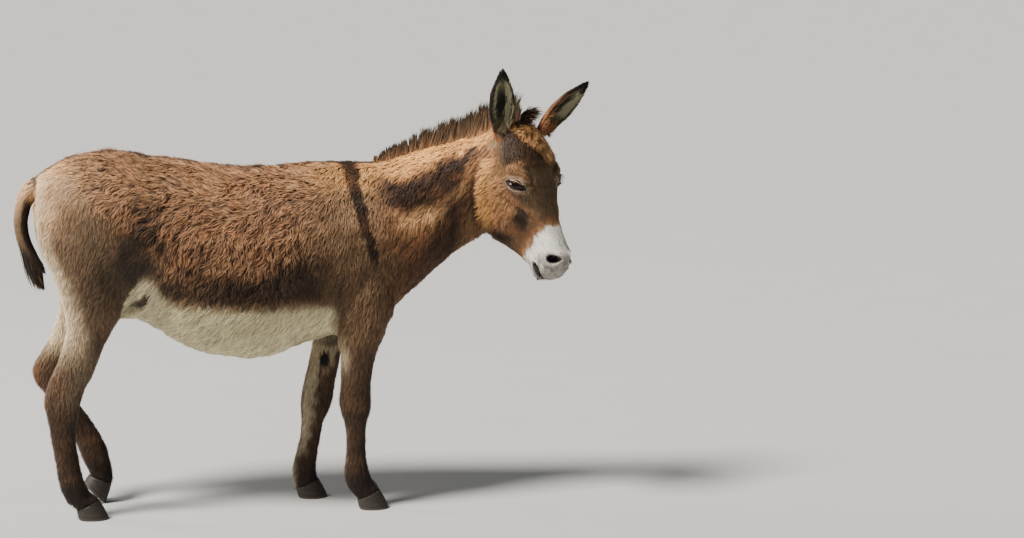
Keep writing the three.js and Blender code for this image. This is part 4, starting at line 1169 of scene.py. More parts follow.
def clumpTufts(outer, root, normal, way, shares, zone, length, random):
    # how far each tip is drawn towards its clump's middle and raised, and its sway; then the clump's own
    # number and how near the tuft stands to its middle. Clumps are large on the barrel, belly and neck
    broad = zone["barrel"] + zone["belly"] + zone["neck"] > 0.5
    small, smallNumber = clumpCentre(outer, 14, 31)
    large, largeNumber = clumpCentre(outer, 29, 37)
    number = np.where(broad, largeNumber, smallNumber)
    toSmall, toLarge = (without(without(middle - root, way), normal) for middle in (small, large))
    reach = np.where(broad, np.linalg.norm(toLarge, axis=1) / 14.5, np.linalg.norm(toSmall, axis=1) / 7)
    crown = drop(0.15, 1.0, reach)
    aside = np.where(broad[:, None], toLarge * 0.75 + toSmall * 0.2, toSmall * 0.8)
    aside = aside * zoneValue(shares, "pull")[:, None]
    across = np.cross(normal, way)
    wild = zoneValue(shares, "wave")
    aside = aside + across * (random.normal(0, 0.4, len(root)) * wild * length * 0.5)[:, None]
    raised = ((number - 0.5) * 0.5 + (crown - 0.45) * 0.5)[:, None] * normal * (length * wild * 0.8)[:, None]
    sway = across * (np.sin(number * 40) * length * wild * 0.5)[:, None]
    return (aside + raised, sway), number, crown


def tuftTints(outer, normal, shares, zone, number, crown, random):
    # the hide's colour, lighter or darker by the clump and by the tuft, with some red and some tan tufts, and
    # lighter in the middle of each clump and darker at its edges as painted highlight and painted shade; then
    # its strength at the root and at the tip
    count = len(outer)
    wild = zoneValue(shares, "wave")
    tint = coatColour(outer, normal, shares)
    strong = np.minimum(1, wild * 3.2)
    # painted highlight in the middle of each clump and painted shade at its edges
    tone = 1 + (number - 0.5) * 0.45 * strong + (crown - 0.5) * 0.5 * strong
    spread = 0.11 + 0.2 * (zone["barrel"] + zone["fringe"]) + 0.1 * (1 - zone["muzzle"] - zone["belly"])
    tone = tone * np.exp(spread * random.normal(0, 1, count).clip(-1.8, 1.8))
    tone = tone * (1 + 0.1 * zone["muzzle"])
    tone = tone * (1 - 0.35 * zone["muzzle"] * (random.random(count) < 0.22))
    redness = (zone["barrel"] + 0.4 * zone["neck"]) * (random.random(count) < 0.3) * 0.45
    redness = redness * ramp(760, 900, outer[:, 2])
    pale = ramp(0.02, 0.07, tint.mean(1))
    # tan tufts more often in the middle of a clump: partly painted highlight
    tan = ((random.random(count) < 0.15 + 0.25 * crown) * pale)[:, None] * 0.4 * strong[:, None]
    tint = tint + (paint["rufous"] - tint) * redness[:, None]
    tint = tint * tone[:, None]
    tint = tint + (paint["tan"] - tint) * tan * (1 - np.maximum(zone["muzzle"], zone["belly"]))[:, None]
    rough = np.clip(wild * 3.6, 0, 1)
    # darker at the root as painted shade down among the tufts; lighter at the tips of pale hair, partly
    # painted highlight
    shade = columns(0.70 - 0.32 * rough, 1.06 + 0.30 * rough * pale)
    shade = mix(shade, np.array([[0.85, 1.05]]), np.maximum(zone["muzzle"], zone["belly"] * 0.6)[:, None])
    return tint, shade


# the coat's pieces: the zones in each, whether it has the head's finer hair, and whether its tufts are long
# enough to bend, with a second ring
coatGroups = {
    "coatBarrel": (["barrel"], False, True), "coatShoulder": (["shoulder"], False, True),
    "coatBelly": (["belly"], False, True), "coatNeck": (["neck"], False, True),
    "coatHaunch": (["haunch"], False, False), "coatLegs": (["upperLeg", "lowerLeg"], False, False),
    "coatHead": (["forehead", "fringe", "cheek"], True, True), "coatFace": (["face", "muzzle"], True, False),
}


def growCoat():
    # tufts over the whole skin but its bare parts, in a right and a left piece for each group of zones
    perMm = (skinZones @ (1 / zoneNumbers("area"))) * (1 - 0.97 * np.clip(bare * 1.5, 0, 1))
    chosen, corner = scatter(skinPoints, fleshTriangles, perMm, 5)
    root, normal, shares, outer = (blend(values, fleshTriangles, chosen, corner)
                                   for values in (skinPoints, skinNormals, skinZones, sculpted))
    normal = unit(normal)
    way = coatLie(outer, normal, shares)
    zone = namedZones(shares)
    random = np.random.default_rng(8)
    size = tuftSizes(outer, shares, zone, random)
    bend, number, crown = clumpTufts(outer, root, normal, way, shares, zone, size[:, 0], random)
    tint, shade = tuftTints(outer, normal, shares, zone, number, crown, random)
    coarse = hairMaterial("donkey coat hair", 0.6, 0.12)
    fine = hairMaterial("donkey face hair", 0.55, 0.08)
    kind = shares.argmax(1)
    across = np.where(kind >= firstHeadZone, bodyToHead(outer)[:, 1], outer[:, 1])
    total = 0
    for title, (members, isFine, isLong) in coatGroups.items():
        inGroup = np.isin(kind, [zoneNames.index(key) for key in members])
        stations = [(0, 0.8), (0.5, 1.0)] if isLong else [(0, 1.0)]
        material = fine if isFine else coarse
        for side, label in ((-1, "Right"), (1, "Left")):
            pick = inGroup & (across * side > 0)
            tuftMesh(title + label, root[pick], normal[pick], way[pick], size[pick],
                     (bend[0][pick], bend[1][pick]), tint[pick], shade[pick], stations, material)
            made = int(pick.sum()) * (10 if isLong else 4)
            total += made
            print("  ", title + label, int(pick.sum()), "tufts,", made, "triangles")
    print("coat:", total, "triangles")


growCoat()


def closedLoft(rings):
    # triangles of a closed tube through the rings, its ends closed by a middle point, facing outwards
    rows, around = rings.shape[:2]
    points = np.concatenate([rings.reshape(-1, 3), rings[:1].mean(1), rings[-1:].mean(1)])
    quads = gridFaces(rows, around)
    j = np.arange(around)
    k = (j + 1) % around
    last = (rows - 1) * around
    ends = [columns(np.full(around, rows * around), k, j),
            columns(np.full(around, rows * around + 1), last + j, last + k)]
    triangles = np.concatenate([quads[:, [0, 1, 2]], quads[:, [0, 2, 3]]] + ends)
    return points, flipInward(points, triangles)


# the profile is (level, half width, reach to the back, reach to the front) up the ear, in mm
earShape = {
    "length": 226, "rows": 56, "columns": 44,
    "profile": [(-0.12, 16, 16, 13), (0, 19, 19, 11), (0.06, 22.5, 21, 3), (0.12, 27.5, 24, -9),
                (0.20, 33, 27, -17), (0.30, 38, 28, -23), (0.42, 41.5, 27, -23), (0.52, 42, 25, -21),
                (0.62, 39, 22, -18.5), (0.72, 33, 19, -15.5), (0.80, 26.5, 16, -12.5), (0.88, 18.5, 12, -8.5),
                (0.95, 10.5, 8, -4.5), (1, 3.5, 4, 0)],
    "ear_right": {"place": (24, -75, -32), "aim": (-0.02, -0.13, 0.99), "face": (0.2, -0.97, 0),
                  "closed": 0.0, "hollow": 0.1, "turned": 0, "rimFrom": 0.1},
    "ear_left": {"place": (34, 79, -8), "aim": (0.66, 0.03, 0.745), "face": (0.45, -0.80, -0.38),
                 "closed": 0.18, "hollow": -0.25, "turned": 1, "rimFrom": 0.45},
}


def earDepth(ear, angle, level):
    # how deep a place lies in the hollow of the cup, whose dark colour is partly dark skin and partly painted
    # shade
    return hill(angle, ear["hollow"], 0.85) * hill(level, 0.44, 0.30)


def earCup(ear):
    # a closed cup from the profile: an outer half ring, then an inner half ring with long folds; with its
    # points' levels up the ear, their angles from the opening's middle, and 1 for those inside
    share = np.linspace(-0.12, 1, earShape["rows"])
    wide, back, front = smoothTable(earShape["profile"], share).T[:, :, None]
    front = mix(front, np.maximum(front, 9), drop(ear["closed"], ear["closed"] + 0.16, share)[:, None])
    half = earShape["columns"] // 2
    angle = np.pi * (np.linspace(0, 1, half) - 0.5)[None, :]
    level = share[:, None]
    lean = 10 * level ** 2
    rim = np.minimum(4, wide / 4)
    roll = 1 + 0.03 * np.sin(level * 21) * ramp(0.1, 0.4, level)
    height = level * earShape["length"] + 0 * angle
    outer = np.stack([lean - (back - 1.2) * np.cos(angle), (wide - 0.8) * np.sin(angle) * roll,
                      height], axis=-1)
    folds = 2.2 * np.cos(angle * 7) * np.cos(angle) * ramp(0.04, 0.25, level) * drop(0.62, 0.9, level)
    inner = np.stack([lean + 1.6 + (front + folds) * np.cos(angle), (wide - 0.8 - rim) * np.sin(angle) * roll,
                      height], axis=-1)
    rings = np.concatenate([outer, inner[:, ::-1]], axis=1)
    rings[..., 2] = np.minimum(rings[..., 2], earShape["length"] - 1.5)
    points, triangles = closedLoft(rings)
    levels = np.append(np.repeat(share, half * 2), [-0.12, 1])
    angles = np.append(np.tile(np.append(angle[0], angle[0, ::-1]), len(share)), [0, 0])
    inside = np.append(np.tile(np.repeat([0.0, 1.0], half), len(share)), [0, 0])
    return points, triangles, levels, angles, inside


def earColours(ear, body, levels, angles, inside):
    # outside: brown back, red base, dark rim and tip; inside: grey with a dark hollow (partly painted shade)
    # and a dark rim
    rough = cloud(body, 16, 61)
    edge = ramp(1.2, 1.5, np.abs(angles))
    rim = edge * 0.9 * ramp(ear["rimFrom"], ear["rimFrom"] + 0.2, levels)
    outside = np.broadcast_to(paint["earBack"], body.shape)
    outside = over(outside, "earBase", drop(0.16, 0.48, levels + 0.08 * rough))
    outside = over(outside, "earRim", np.maximum(rim, ramp(0.72, 0.84, levels + 0.05 * rough)))
    rim = ramp(1.4, 1.54, np.abs(angles)) * 0.9
    within = np.broadcast_to(paint["earInside"], body.shape)
    # dark deep in the hollow: partly dark skin, partly painted shade
    within = over(within, "earDeep", ramp(0.35, 0.8, earDepth(ear, angles, levels) + 0.12 * rough))
    within = over(within, "earRim", np.maximum(rim, ramp(0.72, 0.84, levels + 0.04 * rough)))
    within = over(within, "earBase", drop(ear["closed"], ear["closed"] + 0.12, levels + 0.03 * rough))
    turned = ramp(0.55, 0.85, -angles) * drop(0.55, 0.72, levels + 0.05 * rough) * ear["turned"]
    within = over(within, "cheek", turned * 0.9)
    return mix(outside, within, inside[:, None])


def makeEar(name, material, hair):
    # the cup set on the head; short hair outside it, long pale hair along the edges of its opening
    ear = earShape[name]
    up = unit(np.array(ear["aim"], float))
    face = np.array(ear["face"], float)
    face = unit(face - up * (face @ up))
    axes = np.stack([face, np.cross(up, face), up])
    points, triangles, levels, angles, inside = earCup(ear)
    body = points @ axes + headToBody(ear["place"])
    normals = vertexNormals(body, triangles)
    colour = earColours(ear, body, levels, angles, inside)
    piece = putMesh(name + "Cup", body, triangles, material, colours=colour * 0.8)
    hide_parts(name)

    outside = (inside < 0.5) * ramp(0.0, 0.06, levels)
    within = (inside > 0.5) * ramp(0.02, 0.1, levels) * drop(0.9, 0.97, levels)
    fringe = ramp(0.45, 0.95, np.abs(angles))
    perMm = outside / 8.0 + within * (0.03 + 0.13 * fringe)
    chosen, corner = scatter(body, triangles, perMm, 77 + len(name))
    root = blend(body, triangles, chosen, corner)
    normal = unit(blend(normals, triangles, chosen, corner))
    level, angle, within = blend(columns(levels, angles, inside), triangles, chosen, corner).T
    within = within > 0.5
    tint = blend(colour, triangles, chosen, corner)
    random = np.random.default_rng(41)
    spread = random.random((4, len(root)))
    sideways = axes[1][None] * np.sign(angle)[:, None]
    way = up + sideways * (0.12 * (1 - level))[:, None]
    way = np.where(within[:, None], up - sideways * 0.45 + face * 0.5, way)
    way = unit(without(way, normal, 0.92))
    inLength = np.where(level < ear["closed"] + 0.06, 11, 15 + 22 * (1 - level) * spread[0] + 8 * spread[1])
    length = np.where(within, inLength, 8 + 5 * spread[0])
    length = np.minimum(length, np.maximum(5, (1.035 - level) * earShape["length"]))
    width = np.where(within, 2.3, 2.5) * (0.75 + 0.5 * spread[1])
    lift = np.where(within, 3 + 5 * spread[2], 1.0 + 1.3 * spread[2])
    size = columns(length, width, width * 0.4, 0.6, lift)
    pale = within & (np.abs(angle) > 0.45) & (np.abs(angle) < 1.42)
    pale = pale & (level < 0.76) & (level > ear["closed"] + 0.12)
    pale = pale & (angle > -0.45 - 2 * (1 - ear["turned"]))
    pale = pale & (earDepth(ear, angle, level) < 0.35 + 0.4 * spread[2])
    tint = np.where(pale[:, None], mix(tint, paint["earHair"], (0.35 + 0.6 * spread[3])[:, None]), tint)
    tint = tint * (0.85 + 0.3 * spread[0])[:, None]
    # darker at the roots: painted shade among the hairs
    shade = np.where(within[:, None], [[0.6, 1.12]], [[0.75, 1.12]])
    across = np.cross(normal, way)
    aside = across * (random.normal(0, 0.1, len(root)) * length)[:, None]
    sway = across * (random.normal(0, 0.05, len(root)) * length)[:, None]
    left = 0.1 + 0.3 * (name == "ear_left")
    flat = columns(left + angle * 0.03 + 0.12 * within, 0.95 + level * 0.035)
    tuftMesh(name + "Hair", root, normal, way, size, (aside, sway), tint, shade,
             [(0, 0.8), (0.5, 1.0)], hair, flat=flat)


# the rows are (x, y, z of the crest, height of the mane above it)
maneShape = {
    "blades": 3600, "from": 524, "to": 962,
    "rows": [(520, 0, 1092, 22), (565, -1, 1100, 44), (610, -3, 1110, 58), (660, -7, 1125, 70),
             (720, -16, 1140, 80), (780, -30, 1156, 82), (840, -50, 1174, 99), (890, -70, 1190, 108),
             (932, -90, 1200, 106), (962, -104, 1212, 88)],
}
forelockShape = {"blades": 1900, "shortest": 42, "spread": 46}


def makeMane(hair):
    # upright blades along the crest, in spiky groups, leaning a little forwards; tan roots and dark ends
    random = np.random.default_rng(19)
    count = maneShape["blades"]
    spread = random.random((8, count))
    x = maneShape["from"] + (maneShape["to"] - maneShape["from"]) * spread[0] ** 0.94
    y, z, height = smoothTable(maneShape["rows"], x).T
    off = spread[1] * 2 - 1
    root = columns(x, y + off * 13, z - 10 - 5 * off ** 2)
    group, number = clumpCentre(columns(x, 0, 0), 23, 3)
    lean = 0.15 + 0.34 * (number - 0.5) + 0.22 * (spread[2] - 0.5)
    way = unit(columns(lean, off * 0.12 - 0.02, 1))
    near = drop(0, 12, np.abs(group[:, 0] - x))
    length = (height * 1.12 + 12) * (0.50 + 0.30 * spread[3] + 0.26 * number + 0.08 * near)
    length = length * (1 - 0.24 * ramp(930, 955, x))
    low = (np.abs(off) > 0.55) & (spread[7] > 0.4)   # neck hair that climbs the foot of the mane
    length = np.where(low, 16 + 0.2 * height + 12 * spread[3], length)
    side = unit(columns(-0.3 * (spread[4] - 0.5), np.sign(off), 0))
    side = unit(without(side, way))
    width = 2.2 + 1.6 * spread[5]
    size = columns(length, width, width * 0.35, 0, 0)
    draw = (group[:, 0] - x) * (0.05 + 0.5 * spread[2])
    aside = columns(draw + 12 * (spread[6] - 0.5), 9 * (spread[7] - 0.5) - off * 5, 0)
    sway = columns(3 * (spread[5] - 0.5), 3 * (spread[4] - 0.5), 0)
    tint = paint["mane"] * (0.75 + 0.9 * spread[6])[:, None]
    tint = mix(tint, paint["tan"], ((spread[7] < 0.12) * 0.45)[:, None])
    tint = mix(tint, mix(paint["ridge"], paint["croup"], 0.5), low[:, None] * 0.8)
    shade = columns(1.6 - 0.8 * low, 0.25 + 0.16 * spread[3] + 0.7 * low)
    flat = columns(0.60 + (x - 520) * 0.0007, 0.90 + off * 0.03)
    piece = tuftMesh("maneHair", root, side, way, size, (aside, sway), tint, shade,
                     [(0, 0.7), (0.3, 1.0), (0.65, 0.8)], hair, flat=flat)
    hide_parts("mane")


def makeForelock(hair):
    # a thick curly tuft between the ears that stands up and falls over to the far side
    random = np.random.default_rng(23)
    spread = random.random((9, forelockShape["blades"]))
    along = spread[0]
    head = columns(14 - 44 * along, -44 + 76 * along + 20 * (spread[1] - 0.5), -18 + 24 * along)
    root = headToBody(head)
    grow = columns(-0.62 + 0.4 * (spread[2] - 0.5), 0.30 + 0.6 * (spread[3] - 0.5),
                   0.62 + 0.3 * (spread[4] - 0.5))
    fall = columns(0.50 + 0.3 * (spread[5] - 0.5), 0.80, -0.15 - 0.3 * spread[6])
    way, fall = unit(grow @ headAxes.T), unit(fall @ headAxes.T)
    length = forelockShape["shortest"] + forelockShape["spread"] * spread[7]
    side = unit(np.cross(way, fall))
    width = 2.8 + 1.5 * spread[8]
    size = columns(length, width, width * 0.4, 0, 0)
    wave = side * (6 * np.sin(spread[1] * 40))[:, None]
    aside = fall * (length * (0.45 + 0.35 * spread[2]))[:, None] - way * (length * 0.34)[:, None]
    tint = mix(paint["mane"], paint["neck"], (0.6 * spread[3])[:, None]) * (0.9 + 0.7 * spread[4])[:, None]
    shade = columns(1.2, 0.7 + 0.5 * spread[5])
    flat = columns(0.62 + along * 0.1, 0.97 + 0.02 * spread[6])
    normal = unit(without(fall, way))
    piece = tuftMesh("forelockHair", root, normal, way, size, (aside, wave), tint, shade,
                     [(0, 0.7), (0.3, 1.0), (0.65, 0.85)], hair, flat=flat)
    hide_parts("forelock")


# the rows are (share of the length, x, y, z of the middle, half width, half thickness)
tailShape = {
    "rows": [(0, -505, 0, 1060, 32, 34), (0.1, -540, 0, 1036, 29, 31), (0.2, -567, 0, 1002, 25, 26),
             (0.34, -580, 0, 960, 21, 22), (0.48, -583, 0, 920, 19, 20), (0.62, -577, 0, 880, 18, 19),
             (0.76, -563, 0, 842, 15, 17), (0.9, -545, 0, 806, 10, 13), (1, -533, 0, 780, 4, 5)],
    "short": 4600, "long": 1400, "tip": (-516, 0, 700), "rings": 44, "columns": 20, "inset": 4,
}
tailLeft = np.array([0.0, 1, 0])


def makeTailCore(material):
    # a tapering tube along the tail's bones, darkened as painted shade under the hair, dark in front (towards
    # the buttocks, partly painted shade) and below
    share = np.linspace(0.06, 1, tailShape["rings"])
    columnsRound = tailShape["columns"]
    x, y, z, wide, thick = smoothTable(tailShape["rows"], share).T
    line = columns(x, y, z)
    back = unit(np.cross(unit(np.gradient(line, axis=0)), tailLeft))
    turn = np.linspace(0, 2 * np.pi, columnsRound, endpoint=False)
    rings = (line[:, None] + tailLeft * ((wide - tailShape["inset"])[:, None] * np.cos(turn))[..., None]
             + back[:, None] * ((thick - tailShape["inset"])[:, None] * np.sin(turn))[..., None])
    points, triangles = closedLoft(rings)
    # dark on the front, towards the buttocks, partly painted shade; the whole core darkened as painted shade
    # under the hair
    facing = (back[:, :1] * np.sin(turn) > -0.2).ravel() * np.repeat(ramp(0.12, 0.22, share), columnsRound)
    tone = np.append(np.maximum(facing, np.repeat(ramp(0.45, 0.75, share), columnsRound)), [0, 1])[:, None]
    colour = mix(paint["tail"], paint["switch"], tone) * 0.6
    piece = putMesh("tailCore", points, triangles, material, colours=colour)
    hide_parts("tail")


def makeTailHair(title, count, random, hair):
    # hair round the core: short and lying along it, or the long switch, drawn together towards its tip
    spread = random.random((8, count))
    isLong = title == "tailSwitch"
    s = (0.42 + 0.56 * spread[0]) if isLong else (0.08 + 0.84 * spread[0] ** 0.9)
    x, y, z, wide, thick = smoothTable(tailShape["rows"], s).T
    line = columns(x, y, z)
    ahead = unit(smoothTable(tailShape["rows"], np.minimum(s + 0.01, 1))[:, :3] - line + 1e-6)
    ahead = unit(ahead + np.where(s[:, None] > 0.985, np.array([[0.4, 0, -0.9]]), 0))
    back = unit(np.cross(ahead, tailLeft))
    turn = 2 * np.pi * spread[1]
    normal = tailLeft * np.cos(turn)[:, None] + back * np.sin(turn)[:, None]
    inset = 7 if isLong else tailShape["inset"]
    root = (line + tailLeft * (np.maximum(wide - inset, 1) * np.cos(turn))[:, None]
            + back * (np.maximum(thick - inset, 1) * np.sin(turn))[:, None])
    if isLong:
        reach = np.maximum(40, (root[:, 2] - 706)) * (0.62 + 0.38 * spread[2])
        way = unit(ahead * 0.5 + np.array([0.10, 0, -0.9]) + normal * 0.08)
        toTip = (np.array(tailShape["tip"]) - root - way * reach[:, None]) * np.array([1, 1, 0])
        aside = toTip * (0.35 + 0.6 * spread[3])[:, None]
        width, lift = 3.0 + 1.6 * spread[5], 0
        tint = mix(paint["switch"], paint["tail"], ((spread[6] < 0.12) * 0.6)[:, None])
        shade = columns(1.05, 0.85 + 0.3 * spread[4])
        stations = [(0, 0.7), (0.25, 1.0), (0.5, 0.95), (0.75, 0.7)]
    else:
        reach = mix(18.0, 46.0, ramp(0.2, 0.75, s)) * (0.7 + 0.5 * spread[2])
        way = unit(ahead + normal * 0.05)
        aside = normal * (reach * 0.02)[:, None]
        width, lift = 3.6 + 1.3 * spread[5], 1.5 + 2.5 * spread[3]
        # darker on the front, towards the buttocks: dark hair and partly painted shade
        front = ramp(-0.35, 0.25, normal[:, 0] + 0.3 * (spread[6] - 0.5)) * ramp(0.12, 0.22, s)
        dark = np.maximum(front, ramp(0.45, 0.75, s + 0.1 * (spread[6] - 0.5)))
        down = ramp(0.12, 0.4, s + 0.1 * (spread[4] - 0.5))[:, None]
        tint = mix(mix(paint["croup"] * 0.85, paint["tail"], down), paint["switch"], dark[:, None])
        # darker at the roots: painted shade among the hairs
        shade = columns(0.6 + 0 * reach, 1.25)
        stations = [(0, 0.8), (0.5, 1.0)]
    normal = unit(without(normal, way))
    sway = np.cross(normal, way) * (reach * 0.05 * (spread[7] - 0.5))[:, None]
    flat = columns(0.80 + 0.17 * spread[1], 0.86 + 0.1 * s + 0.02 * isLong)
    tuftMesh(title, root, normal, way, columns(reach, width, width * 0.4, 1.0, lift), (aside, sway),
             tint * (0.8 + 0.4 * spread[4])[:, None], shade, stations, hair,
             flat=np.minimum(flat, 0.996))


def makeTail(material, hair):
    # the core, the short hair down its length and the long switch below
    makeTailCore(material)
    random = np.random.default_rng(29)
    makeTailHair("tailHair", tailShape["short"], random, hair)
    makeTailHair("tailSwitch", tailShape["long"], random, hair)


def eyeMaterial():
    # wet eyeball: dark brown iris with fine spokes, level oval pupil, dark rim, glossy cornea
    material, tree = newMaterial("wet eyeball")
    local = addNode(tree, "Attribute", {"attribute_name": "eyeLocal"})
    parts = addNode(tree, "SeparateXYZ", links=[(0, local, "Vector")])
    wide = addNode(tree, "Math", {"operation": "MULTIPLY", 1: 0.52}, [(0, parts, "X")])
    flat = addNode(tree, "CombineXYZ", links=[("X", wide, 0), ("Y", parts, "Y")])
    pupil = addNode(tree, "VectorMath", {"operation": "LENGTH"}, [(0, flat, 0)])
    disc = addNode(tree, "CombineXYZ", links=[("X", parts, "X"), ("Y", parts, "Y")])
    reach = addNode(tree, "VectorMath", {"operation": "LENGTH"}, [(0, disc, 0)])
    spokes = addNode(tree, "TexNoise", {"Scale": 14.0, "Detail": 3.0}, [("Vector", local, "Vector")])
    iris = addNode(tree, "ValToRGB", links=[("Fac", spokes, "Fac")])
    iris.color_ramp.elements[0].color = (*linear("#160c07"), 1)
    iris.color_ramp.elements[1].color = (*linear("#3a2213"), 1)
    hole = addNode(tree, "MapRange", {"From Min": 0.19, "From Max": 0.24}, [("Value", pupil, "Value")])
    white = addNode(tree, "MapRange", {"From Min": 0.74, "From Max": 0.86}, [("Value", reach, "Value")])
    inner = addNode(tree, "Mix", {"data_type": "RGBA"},
                    [("Factor", hole, "Result"), (7, iris, "Color")])
    inner.inputs[6].default_value = (0.004, 0.003, 0.003, 1)
    outer = addNode(tree, "Mix", {"data_type": "RGBA"},
                    [("Factor", white, "Result"), (6, inner, 2)])
    outer.inputs[7].default_value = (*linear("#3b2d25"), 1)
    ripple = addNode(tree, "Bump", {"Strength": 0.05, "Distance": 0.0003}, [("Height", spokes, "Fac")])
    shader = addNode(tree, "BsdfPrincipled",
                     {"Roughness": 0.15, "Coat Weight": 0.08, "Coat Roughness": 0.03, "IOR": 1.3},
                     [("Base Color", outer, 2), ("Normal", ripple, "Normal")])
    finishMaterial(tree, shader)
    return material


def makeLashes(name, side, hair):
    # lashes along the edge of the upper lid, pointing outwards and a little down
    axes, place = eyeFrame(side)
    random = np.random.default_rng(53)
    count, power = eyeShape["lashes"], eyeShape["power"]
    t = np.linspace(-0.82, 0.9, count) + random.normal(0, 0.012, count)
    lid = columns(t * eyeShape["slit"], eyeShape["upper"] * (1 - np.abs(t) ** power) ** (1 / power) + 0.8, 0)
    lid[:, 2] = np.sqrt(np.maximum(31.4 ** 2 - lid[:, 0] ** 2 - lid[:, 1] ** 2, 1))
    way = unit(unit(lid) * 0.85 + columns(t * 0.35, 0.35 - 0.5 * np.abs(t), 0) - [[0, 0.42, 0]])
    normal = unit(np.cross(np.array([[1.0, 0, 0]]), way))
    length = 9 + 5 * random.random(count) * (1 - np.abs(t) * 0.4)
    down = np.tile([[0.0, -0.2, 0.1]], (count, 1))
    normal, way, down = (v @ axes @ headAxes.T for v in (normal, way, down))
    droop = down * length[:, None]
    tuftMesh(name + "Lashes", headToBody(place + lid @ axes), normal, way, columns(length, 0.75, 0.4, 1.0, 0),
             (droop, 0 * droop), np.tile(paint["lid"] * 0.6, (count, 1)), np.ones((count, 2)),
             [(0, 1.0), (0.5, 0.8)], hair, flat=columns(0.5 + 0.02 * side, 0.90 + 0.03 * t))


def makeEyes():
    # balls with a slightly raised cornea, and lashes along each upper lid
    glass = eyeMaterial()
    lashHair = hairMaterial("lash hair", 0.4, 0.0)
    polar = np.linspace(0.02, np.pi - 0.02, 48)[:, None]
    turn = np.linspace(0, 2 * np.pi, 96, endpoint=False)[None, :]
    ball = np.stack([np.sin(polar) * np.cos(turn), np.sin(polar) * np.sin(turn),
                     np.cos(polar) + 0 * turn], axis=-1)
    radius = eyeShape["ball"] + eyeShape["cornea"] * drop(0.35, 0.62, polar)
    for side, name in ((-1, "eye_right"), (1, "eye_left")):
        axes, place = eyeFrame(side)
        points, triangles = closedLoft(ball * radius[..., None])
        body = headToBody(place + points @ axes)
        triangles = flipInward(body, triangles, headToBody(place))
        piece = putMesh(name + "Ball", body, triangles, glass)
        addVector(piece, "eyeLocal", unit(points))
        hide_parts(name)
        makeLashes(name, side, lashHair)


# sizes in mm, then each hoof's place and how far it is tipped on its toe in degrees
hoofShape = {
    "toe": 47, "halfWidth": 39, "topToe": 37, "topHalfWidth": 31, "topBack": -19, "topHeight": 47, "tilt": 24,
    "rings": 30, "columns": 56,
    "fore_hoof_right": ((506, -105, 0), 0), "fore_hoof_left": ((329, 84, 0), 0),
    "hind_hoof_right": ((-379, -118, 0), 0), "hind_hoof_left": ((-371, 112, 31), 45),
}


def signedPower(value, power):
    # the power of the size, with the value's own sign
    return np.sign(value) * np.abs(value) ** power


def hoofMaterial():
    # horn: matt grey-brown wall with level growth rings, upright fibres and worn, dusty lower edge
    material, tree = newMaterial("hoof horn")
    level = addNode(tree, "Attribute", {"attribute_name": "hoofPlace"})
    parts = addNode(tree, "SeparateXYZ", links=[(0, level, "Vector")])
    stretch = addNode(tree, "VectorMath", {"operation": "MULTIPLY", 1: (1.0, 1.0, 0.12)},
                      [(0, level, "Vector")])
    fibres = addNode(tree, "TexNoise", {"Scale": 1.3, "Detail": 4.0, "Roughness": 0.6},
                     [("Vector", stretch, 0)])   # upright fibres about 1 mm apart
    flat = addNode(tree, "VectorMath", {"operation": "MULTIPLY", 1: (0.06, 0.06, 1.0)},
                   [(0, level, "Vector")])
    rings = addNode(tree, "TexNoise", {"Scale": 0.28, "Detail": 3.0}, [("Vector", flat, 0)])
    both = addNode(tree, "Math", {"operation": "ADD"}, [(0, fibres, "Fac"), (1, rings, "Fac")])
    half = addNode(tree, "Math", {"operation": "MULTIPLY", 1: 0.5}, [(0, both, 0)])
    tone = addNode(tree, "ValToRGB", links=[("Fac", half, 0)])
    tone.color_ramp.elements[0].position = 0.35
    tone.color_ramp.elements[0].color = (*linear("#171412"), 1)
    tone.color_ramp.elements[1].position = 0.68
    tone.color_ramp.elements[1].color = (*linear("#3b342d"), 1)
    dust = addNode(tree, "MapRange", {"From Min": 9.0, "From Max": 0.0, "To Max": 0.6},
                   [("Value", parts, "Z")])   # within 9 mm of the ground
    worn = addNode(tree, "Mix", {"data_type": "RGBA"},
                   [("Factor", dust, "Result"), (6, tone, "Color")])
    worn.inputs[7].default_value = (*linear("#5c5247"), 1)
    bump = addNode(tree, "Bump", {"Strength": 0.5, "Distance": 0.0008}, [("Height", both, 0)])
    shader = addNode(tree, "BsdfPrincipled", {"Roughness": 0.58, "Specular IOR Level": 0.35},
                     [("Base Color", worn, 2), ("Normal", bump, "Normal")])
    finishMaterial(tree, shader)
    return material


